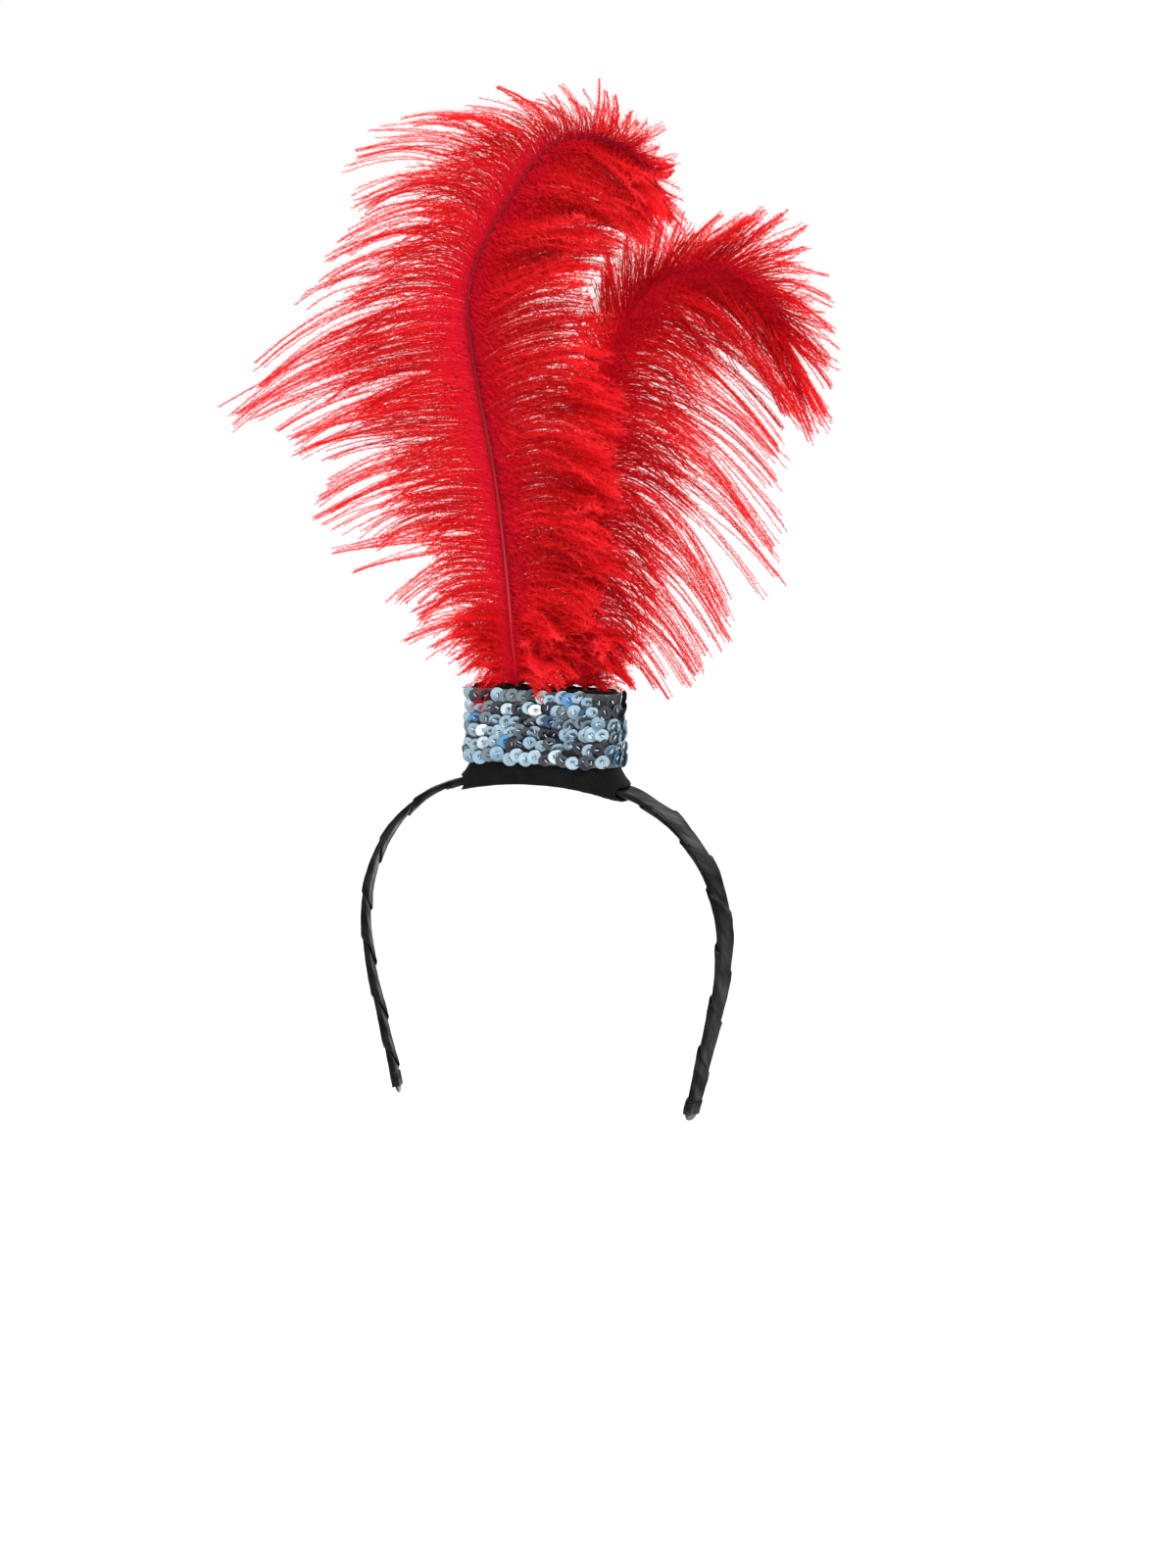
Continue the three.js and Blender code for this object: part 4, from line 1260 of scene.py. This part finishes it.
@dataclass
class Plume:
    """One ostrich plume: a tapered shaft with a vane of barbs on each side and down at its foot."""

    name: str
    length: float
    side: float
    depth: float
    lean: float
    shaft: list[ShaftRow]
    vanes: list[Vane]
    seed: int
    foot: float = 5.7
    rim: float = 38.5
    bare_share: float = 0.045
    curl: float = 0.145
    curl_spread: float = 0.13
    curl_step: float = 2.3
    lock_spacing: float = 11.0
    foot_radius: float = 0.55
    quill_radius: float = 1.25
    root_radius: float = 1.1
    tip_radius: float = 0.22
    shaft_forward: float = 1.3
    groove_depth: float = 0.22
    groove_width: float = 0.45
    # How far up the shaft the painted highlight reaches, as a share of its length.
    highlight_share: float = 0.6
    stray: float = 2.3
    barb_radius: float = 0.17
    barb_tip_radius: float = 0.07
    drift_knots: int = 24
    reach_drift: float = 0.04
    reach_stray: tuple[float, float] = (-0.2, 0.06)
    aim_drift: float = 1.5
    aim_stray: float = 3.2
    droop_stray: tuple[float, float] = (0.2, 1.8)
    slack_reach: float = 40.0
    rise_wave: float = 0.7
    grip_stray: float = 0.12
    lock_hold: float = 0.35
    bulk_least: float = 0.45
    bulk_reach: float = 50.0
    tint: float = 0.85
    tint_reach: float = 0.45
    shade: tuple[float, float] = (0.62, 0.2)
    shade_rise: float = 0.1

    def point(self, at: np.ndarray) -> np.ndarray:
        """Gives points on the shaft's line at shares of its length."""
        return np.stack([
            self.side + self.length * along_table(self.shaft, "side", at),
            self.depth + self.length * self.lean * at * at,
            self.rim + self.length * along_table(self.shaft, "rise", at),
        ], axis=-1)

    def angle(self, at: np.ndarray) -> np.ndarray:
        """Gives the shaft's angle in the plume's plane, anticlockwise from +X."""
        way = self.point(np.minimum(1, at + 0.02)) - self.point(np.maximum(0, at - 0.02))
        return np.arctan2(way[..., 2], way[..., 0])

    def build_shaft(self, finish: DyedShaft) -> bpy.types.Object:
        """Makes the shaft from its foot in the pocket to its tip, with a groove down its front."""
        at = np.linspace(0, 1, 90)
        above = self.point(at)
        below = np.repeat(above[:1], 4, axis=0)
        below[:, 2] = [self.foot, self.foot + 2, self.rim - 8, self.rim - 2]
        points = np.vstack([below, above])
        angle = np.concatenate([np.full(4, math.pi / 2), self.angle(at)])
        radius = self.root_radius + (self.tip_radius - self.root_radius) * at**0.8
        quill = [
            self.foot_radius, self.quill_radius, self.quill_radius, 0.5 * (self.quill_radius + radius[0]),
        ]
        radius = np.concatenate([quill, radius])
        turn = np.linspace(0, 2 * math.pi, 12, endpoint=False)
        from_front = np.mod(turn + math.pi, 2 * math.pi) - math.pi
        groove = 1 - self.groove_depth * np.exp(-(from_front / self.groove_width) ** 2)
        across = np.stack([np.sin(angle), np.zeros_like(angle), -np.cos(angle)], axis=-1)
        forward = np.array([0.0, -1.0, 0.0]) * math.copysign(1, -self.lean)
        wide = radius[:, None] * np.sin(turn)[None, :] * math.copysign(1, -self.lean)
        deep = radius[:, None] * (groove * np.cos(turn))[None, :]
        shift = forward * np.concatenate([np.zeros(4), self.shaft_forward * eased(at / 0.1)])[:, None]
        rings = (points + shift)[:, None, :] + across[:, None, :] * wide[..., None]
        rings = rings + forward * deep[..., None]
        made = mesh_object(self.name + "_shaft", *capped(rings))
        walked = np.concatenate([[0], np.cumsum(np.linalg.norm(np.diff(points, axis=0), axis=1))])
        places = np.stack(np.broadcast_arrays(turn[None, :], walked[:, None]), axis=-1).reshape(-1, 2)
        write_uv(made, np.vstack([places, places[:1], places[-1:]]))
        # Painted highlight: a paler stripe down the middle of the front, fading out up the shaft.
        front = np.clip(np.cos(turn), 0, 1) ** 5
        worn = np.outer(1 - eased(walked / (self.highlight_share * self.length)), front).ravel()
        write_values(made, "worn", np.append(worn, [0.0, 0.0]))
        return finished(made, finish)

    def barb_lines(self, vane: Vane, rng: np.random.Generator) -> np.ndarray:
        """Lays out the barbs of one vane.

        Args:
            vane: the vane.
            rng: the source of the small differences between barbs.

        Returns:
            A line of points for each barb.
        """
        low, high = vane.span
        count = int(self.length * (high - low) / vane.barb_gap)
        at = low + (high - low) * (np.arange(count) + rng.uniform(0.2, 0.8, count)) / count
        hand = vane.side.value
        share = np.linspace(0, 1, vane.steps)[None, :]
        knots = np.linspace(0, 1, self.drift_knots)
        slow = np.interp(at, knots, rng.normal(0, 1, self.drift_knots))
        reach = self.length * along_table(vane.rows, "reach", at) * (
            1 + self.reach_drift * np.clip(slow, -1.5, 1) + rng.uniform(*self.reach_stray, count))
        aim = np.radians(
            along_table(vane.rows, "aim", at) + self.aim_drift * slow + rng.normal(0, self.aim_stray, count))
        leave = self.angle(at) + hand * np.radians(along_table(vane.rows, "leave", at))
        lift = reach * along_table(vane.rows, "lift", at)
        step = (at - self.bare_share) / (1 - self.bare_share) * self.length / self.lock_spacing
        sway = self.curl + self.curl_spread * np.sin(self.curl_step * (step - 0.5) + hand)
        curl = math.copysign(1, self.lean) * sway + rng.normal(0, vane.puff, count)
        root = self.point(at)
        nothing = np.zeros(count)
        bend = root + np.stack([np.cos(leave) * lift, nothing, np.sin(leave) * lift], axis=-1)
        tip = root + reach[:, None] * np.stack([np.cos(aim), curl, np.sin(aim)], axis=-1)
        t = share[..., None]
        lines = (1 - t) ** 2 * root[:, None] + 2 * t * (1 - t) * bend[:, None] + t**2 * tip[:, None]
        lines[..., 2] -= vane.droop * reach[:, None] * share**4 * rng.uniform(*self.droop_stray, (count, 1))
        phase = rng.uniform(0, 2 * math.pi, (2, count, 1))
        slack = np.minimum(1, reach / self.slack_reach)[:, None] * share**1.6
        lines[..., 1] += vane.wave * slack * np.sin(phase[0] + 5 * share)
        lines[..., 2] += self.rise_wave * vane.wave * slack * np.sin(phase[1] + 6 * share)
        self.gather(lines, vane, rng)
        return lines

    def gather(self, lines: np.ndarray, vane: Vane, rng: np.random.Generator) -> None:
        """Draws the outer part of neighbouring barbs together into strands, in place."""
        share = np.linspace(0, 1, vane.steps)
        for size in (vane.strand, (4 * vane.strand[0], 3 * vane.strand[1])):
            first = 0
            while first < len(lines):
                last = min(len(lines), first + int(rng.integers(*size)))
                middle = lines[first:last].mean(axis=0)
                start = vane.grip_start + rng.uniform(-self.grip_stray, self.grip_stray)
                hold = rng.uniform(*vane.grip) * eased((share - start) / (1 - start))
                hold = hold if size == vane.strand else self.lock_hold * hold
                lines[first:last] += (middle - lines[first:last]) * hold[None, :, None]
                shift = rng.normal(0, self.stray, 3) * share[:, None] ** 3
                lines[first:last] += shift[None]
                first = last

    def build_vane(self, vane: Vane, tree: Any, barbule: bpy.types.Object, down: bpy.types.Material,
                   rng: np.random.Generator) -> bpy.types.Object:
        """Grows one vane of barbs and barbules.

        Args:
            vane: the vane.
            tree: the tree that grows them.
            barbule: the shape of a barbule.
            down: the material.
            rng: the source of the small differences between barbs.

        Returns:
            The vane.
        """
        lines = self.barb_lines(vane, rng)
        count, steps = lines.shape[:2]
        start = np.arange(count)[:, None] * steps + np.arange(steps - 1)[None, :]
        edges = np.stack([start, start + 1], axis=-1).reshape(-1, 2)
        name = f"{self.name}_{vane.side.name.lower()}_{vane.name}"
        made = mesh_object(name, lines.reshape(-1, 3), [], edges)
        share = np.linspace(0, 1, steps)[None, :]
        span = np.linalg.norm(lines[:, -1] - lines[:, 0], axis=1)
        bulk = np.minimum(1, self.bulk_least + span / self.bulk_reach)[:, None]
        values = {
            "thick": vane.thickness * MM * bulk * (
                self.barb_radius + (self.barb_tip_radius - self.barb_radius) * share),
            "fuzz": MM * (vane.fuzz + (vane.tip_fuzz - vane.fuzz) * share**0.8) * (
                eased(0.55 + share / 0.1)) * bulk,
            "tint": self.tint * (1 - eased(share / self.tint_reach)) * rng.uniform(0.3, 1, (count, 1)),
            "shade": np.clip(rng.normal(*self.shade, (count, 1)) + self.shade_rise * share, 0, 1),
        }
        for label, value in values.items():
            write_values(made, label, np.broadcast_to(value, (count, steps)))
        return grown(made, tree, {
            "Barbule": barbule, "Barbule Gap": vane.barbule_gap * MM, "Seed": self.seed, "Down": down,
        })

    def build(self, tree: Any, barbule: bpy.types.Object, down: bpy.types.Material,
              horn: DyedShaft) -> list[bpy.types.Object]:
        """Builds the shaft and both vanes."""
        rng = np.random.default_rng(self.seed)
        vanes = [self.build_vane(vane, tree, barbule, down, rng) for vane in self.vanes]
        return [self.build_shaft(horn), *vanes]


def vane_rows(*rows: tuple[float, ...]) -> list[VaneRow]:
    """Names the columns of a vane's table."""
    return [VaneRow(*row) for row in rows]


def shaft_rows(*rows: tuple[float, ...]) -> list[ShaftRow]:
    """Names the columns of a shaft's table."""
    return [ShaftRow(*row) for row in rows]


def inner_down(left: list[VaneRow], right: list[VaneRow], reach: tuple[float, float],
               gap: float) -> list[Vane]:
    """Describes the short, dense down that hides the gaps between the barbs next to a shaft.

    Args:
        left: the rows of the left vane.
        right: the rows of the right vane.
        reach: the share of the vane's reach that the down has, on the left and on the right.
        gap: the gap between its barbs.

    Returns:
        The down on each side.
    """
    shared = {
        "barb_gap": gap, "barbule_gap": 0.5, "puff": 0.06, "wave": 2.0, "droop": 0.02, "steps": 9,
        "strand": (1, 3), "grip": (0.1, 0.4), "fuzz": 5.0, "tip_fuzz": 3.6, "thickness": 2.3,
        "name": "inner_down",
    }
    return [
        Vane(side, [row._replace(reach=share * row.reach) for row in rows], **shared)
        for side, rows, share in ((Side.LEFT, left, reach[0]), (Side.RIGHT, right, reach[1]))
    ]


def foot_down() -> list[Vane]:
    """Describes the short down that fills the pocket's mouth on both sides of a shaft."""
    left = vane_rows((0, 0.055, 176, 40, 0.5), (0.04, 0.085, 160, 40, 0.5), (0.1, 0.1, 165, 40, 0.5))
    right = vane_rows((0, 0.055, 4, 40, 0.5), (0.04, 0.085, 22, 40, 0.5), (0.1, 0.1, 15, 40, 0.5))
    shared = {
        "span": (-0.02, 0.085), "barb_gap": 0.22, "barbule_gap": 0.2, "puff": 0.32, "wave": 5.0,
        "droop": 0.25, "strand": (1, 4), "grip": (0.1, 0.5), "fuzz": 5.0, "tip_fuzz": 2.6,
        "name": "foot_down",
    }
    return [Vane(Side.LEFT, left, **shared), Vane(Side.RIGHT, right, **shared)]


def tall_plume() -> Plume:
    """Describes the taller plume, which leans forward and curls over to the wearer's left."""
    shaft = shaft_rows(
        (0, 0, 0), (0.085, -0.006, 0.085), (0.19, -0.016, 0.19), (0.31, -0.031, 0.309), (0.41, -0.05, 0.406),
        (0.494, -0.063, 0.49), (0.557, -0.065, 0.552), (0.607, -0.051, 0.601), (0.663, -0.024, 0.649),
        (0.722, 0.011, 0.697), (0.778, 0.045, 0.741), (0.822, 0.079, 0.768), (0.877, 0.133, 0.779),
        (0.942, 0.196, 0.763), (1, 0.241, 0.726),
    )
    left = vane_rows(
        (0, 0.06, 170, 55, 0.5), (0.08, 0.13, 178, 55, 0.45), (0.19, 0.2, 184, 60, 0.4),
        (0.31, 0.27, 186, 65, 0.4), (0.41, 0.32, 189, 70, 0.4), (0.49, 0.38, 192, 72, 0.4),
        (0.55, 0.35, 191, 75, 0.45), (0.59, 0.24, 180, 60, 0.5), (0.66, 0.23, 168, 60, 0.5),
        (0.73, 0.22, 153, 60, 0.5), (0.8, 0.125, 140, 60, 0.5), (0.88, 0.07, 80, 45, 0.4),
        (0.94, 0.06, 30, 35, 0.4), (1, 0.05, -20, 20, 0.4),
    )
    right = vane_rows(
        (0, 0.07, 5, 55, 0.5), (0.08, 0.14, 0, 55, 0.45), (0.19, 0.19, 4, 60, 0.4),
        (0.31, 0.22, 6, 60, 0.4), (0.41, 0.235, 14, 60, 0.4), (0.49, 0.236, 19, 55, 0.4),
        (0.57, 0.24, 17, 50, 0.4), (0.66, 0.24, 5, 45, 0.4), (0.72, 0.254, -8, 45, 0.4),
        (0.78, 0.249, -19, 35, 0.4), (0.84, 0.2, -30, 30, 0.4), (0.9, 0.14, -55, 35, 0.4),
        (1, 0.065, -60, 30, 0.4),
    )
    return Plume("tall_plume", 274.0, -9.8, -1.8, -0.06, shaft, [
        Vane(Side.LEFT, left, barbule_gap=0.2), Vane(Side.RIGHT, right, barbule_gap=0.2, grip=(0.3, 0.7)),
        *inner_down(left, right, (0.6, 0.9), 0.52), *foot_down(),
    ], seed=21)


def side_plume() -> Plume:
    """Describes the second plume, which arches over to the wearer's left and hangs there."""
    shaft = shaft_rows(
        (0, 0, 0), (0.104, 0.005, 0.104), (0.226, 0.012, 0.225), (0.347, 0.02, 0.346), (0.45, 0.027, 0.449),
        (0.524, 0.037, 0.522), (0.611, 0.055, 0.608), (0.678, 0.089, 0.666), (0.756, 0.148, 0.717),
        (0.814, 0.203, 0.731), (0.869, 0.258, 0.725), (0.932, 0.311, 0.69), (1, 0.345, 0.632),
    )
    left = vane_rows(
        (0, 0.05, 175, 45, 0.5), (0.09, 0.1, 172, 45, 0.45), (0.23, 0.14, 166, 45, 0.4),
        (0.36, 0.15, 150, 42, 0.4), (0.51, 0.14, 126, 35, 0.4), (0.6, 0.17, 110, 30, 0.4),
        (0.65, 0.19, 96, 32, 0.4), (0.71, 0.16, 74, 32, 0.4), (0.77, 0.145, 50, 32, 0.4),
        (0.86, 0.17, 28, 45, 0.4), (0.93, 0.15, -15, 40, 0.4), (1, 0.14, -54, 20, 0.4),
    )
    right = vane_rows(
        (0, 0.06, -5, 50, 0.45), (0.07, 0.15, -30, 50, 0.5), (0.14, 0.22, -36, 50, 0.45),
        (0.24, 0.275, -32, 50, 0.45), (0.34, 0.32, -26, 50, 0.45), (0.44, 0.345, -22, 50, 0.45),
        (0.52, 0.352, -20, 50, 0.45), (0.61, 0.35, -23, 45, 0.45), (0.68, 0.33, -30, 40, 0.45),
        (0.76, 0.31, -42, 35, 0.4), (0.83, 0.293, -54, 30, 0.35), (0.89, 0.262, -62, 20, 0.3),
        (1, 0.171, -68, 5, 0.3),
    )
    return Plume("side_plume", 222.0, 17.9, 1.8, 0.05, shaft, [
        Vane(Side.LEFT, left, barbule_gap=0.19), Vane(Side.RIGHT, right, barbule_gap=0.19, wave=3.8),
        *inner_down(left, right, (0.75, 0.5), 0.52), *foot_down(),
    ], seed=34)


def aim(made: bpy.types.Object, place: Vector, way: Vector) -> None:
    """Stands a camera or a lamp in the scene and turns it.

    Args:
        made: the camera or the lamp.
        place: where it stands, in millimetres.
        way: the way that it faces.
    """
    made.location = place * MM
    made.rotation_mode = "QUATERNION"
    made.rotation_quaternion = way.to_track_quat("-Z", "Y")
    bpy.context.scene.collection.objects.link(made)


@dataclass
class Studio:
    """The camera at the photograph's angle, a pale floor and soft light."""

    azimuth: float = math.radians(25)
    elevation: float = math.radians(8)
    distance: float = 1800.0
    lens: float = 105.0
    target_right: float = 18.13
    target_up: float = -0.39
    floor_level: float = -290.0
    floor_half: float = 9000.0
    bright_side: tuple[float, float, float] = (0.5, 0.45, 0.74)
    dim: float = 0.3
    bright: float = 1.3
    sensor: float = 36.0
    lit_point: tuple[float, float, float] = (20.0, 0.0, 90.0)

    def camera(self) -> bpy.types.Object:
        """Places the camera so that the crown seat falls where the photograph has it."""
        a, e = self.azimuth, self.elevation
        back = Vector((math.sin(a) * math.cos(e), -math.cos(a) * math.cos(e), math.sin(e)))
        right = Vector((math.cos(a), math.sin(a), 0))
        target = right * self.target_right + back.cross(right) * self.target_up
        data = bpy.data.cameras.new("studio_camera")
        data.lens = self.lens
        data.sensor_width = self.sensor
        made = bpy.data.objects.new("studio_camera", data)
        aim(made, target + back * self.distance, -back)
        bpy.context.scene.camera = made
        return made

    def lamp(self, name: str, place: tuple, size: float, power: float) -> bpy.types.Object:
        """Aims a soft square lamp at the object.

        Args:
            name: the lamp's name.
            place: where it stands, in millimetres.
            size: its side, in millimetres.
            power: its watts.

        Returns:
            The lamp.
        """
        data = bpy.data.lights.new(name, "AREA")
        data.size = size * MM
        data.energy = power
        made = bpy.data.objects.new(name, data)
        aim(made, Vector(place), Vector(self.lit_point) - Vector(place))
        return made

    def surroundings(self) -> None:
        """Lights the scene softly all round in front of a white background."""
        world = bpy.data.worlds.new("white_room")
        world.use_nodes = True
        tree = world.node_tree
        tree.nodes.clear()
        way = add(tree, "ShaderNodeTexCoord").outputs["Generated"]
        toward = add(tree, "ShaderNodeVectorMath", {0: way, 1: self.bright_side}, operation="DOT_PRODUCT")
        glow = add(tree, "ShaderNodeMapRange", {
            "Value": toward.outputs["Value"], "From Min": -1.0, "To Min": self.dim, "To Max": self.bright,
        })
        soft = add(tree, "ShaderNodeBackground", {
            "Color": (0.98, 0.99, 1.0, 1.0), "Strength": glow.outputs[0],
        })
        white = add(tree, "ShaderNodeBackground", {"Color": (1.0, 1.0, 1.0, 1.0), "Strength": 1.0})
        seen = add(tree, "ShaderNodeLightPath").outputs["Is Camera Ray"]
        mix = add(tree, "ShaderNodeMixShader", {0: seen, 1: soft.outputs[0], 2: white.outputs[0]})
        add(tree, "ShaderNodeOutputWorld", {"Surface": mix.outputs[0]})
        bpy.context.scene.world = world
        bpy.context.scene.view_settings.view_transform = "Standard"

    def floor(self, finish: StudioPaper) -> bpy.types.Object:
        """Lays the floor where the bottom of the photograph is."""
        half = self.floor_half
        corners = np.array([(-half, -half, 0), (half, -half, 0), (half, half, 0), (-half, half, 0)])
        made = mesh_object("studio_floor", corners + [0, 0, self.floor_level], [(0, 1, 2, 3)], smooth=False)
        return finished(made, finish)

    def build(self) -> None:
        """Sets up the camera, the floor and the light."""
        self.camera()
        self.floor(StudioPaper())
        self.lamp("key_light", (900, -700, 1100), 900, 34)
        self.lamp("rim_light", (500, 1000, 900), 900, 6)
        self.surroundings()


def attach(made: bpy.types.Object, slot: str, *nodes: str) -> None:
    """Fixes a piece to the frame, hides the nodes it stands for, and reports it with those nodes."""
    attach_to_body(made, "root")
    if nodes:
        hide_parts(*nodes)
    made.data.calc_loop_triangles()
    log.info("%s: %d triangles, stands for %s", made.name, len(made.data.loop_triangles), nodes or "nothing")


def main() -> None:
    """Builds the studio and every piece in order."""
    logging.basicConfig(level=logging.INFO, format="%(relativeCreated)d ms %(name)s: %(message)s")
    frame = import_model()
    Studio().build()
    band = Band()
    attach(band.build(MouldedPlastic()), "hoop_plastic", "hoop")
    winding = RibbonWinding(band)
    ribbon = winding.build(SatinRibbon())
    attach(ribbon, "black_satin", "ribbon_winding")
    winding.cut()
    log.info("ribbon cut to %s m", winding.cut())
    holder = Holder()
    attach(holder.build(frame["nodes"]["holder"], CraftFelt()), "black_felt", "holder")
    net = SewingThread("grey_elastic_net", "#26282c")
    thread = SewingThread("pale_sequin_thread", "#dfe6ea")
    for made in SequinTrim(holder).build(MetallisedFilm(), net, thread):
        attach(made, "silver_sequins", "sequin_trim")
    tree = fluff_tree()
    barbule = spike("barbule_shape", 0.36)
    down = DyedDown().material()
    for plume, node in ((tall_plume(), "plume_tall"), (side_plume(), "plume_side")):
        shaft, *vanes = plume.build(tree, barbule, down, DyedShaft())
        attach(shaft, "red_plume", node.replace("plume", "quill"))
        for vane in vanes:
            attach(vane, "red_plume", node)
    bpy.data.objects.remove(barbule)


if __name__ == "__main__":
    main()
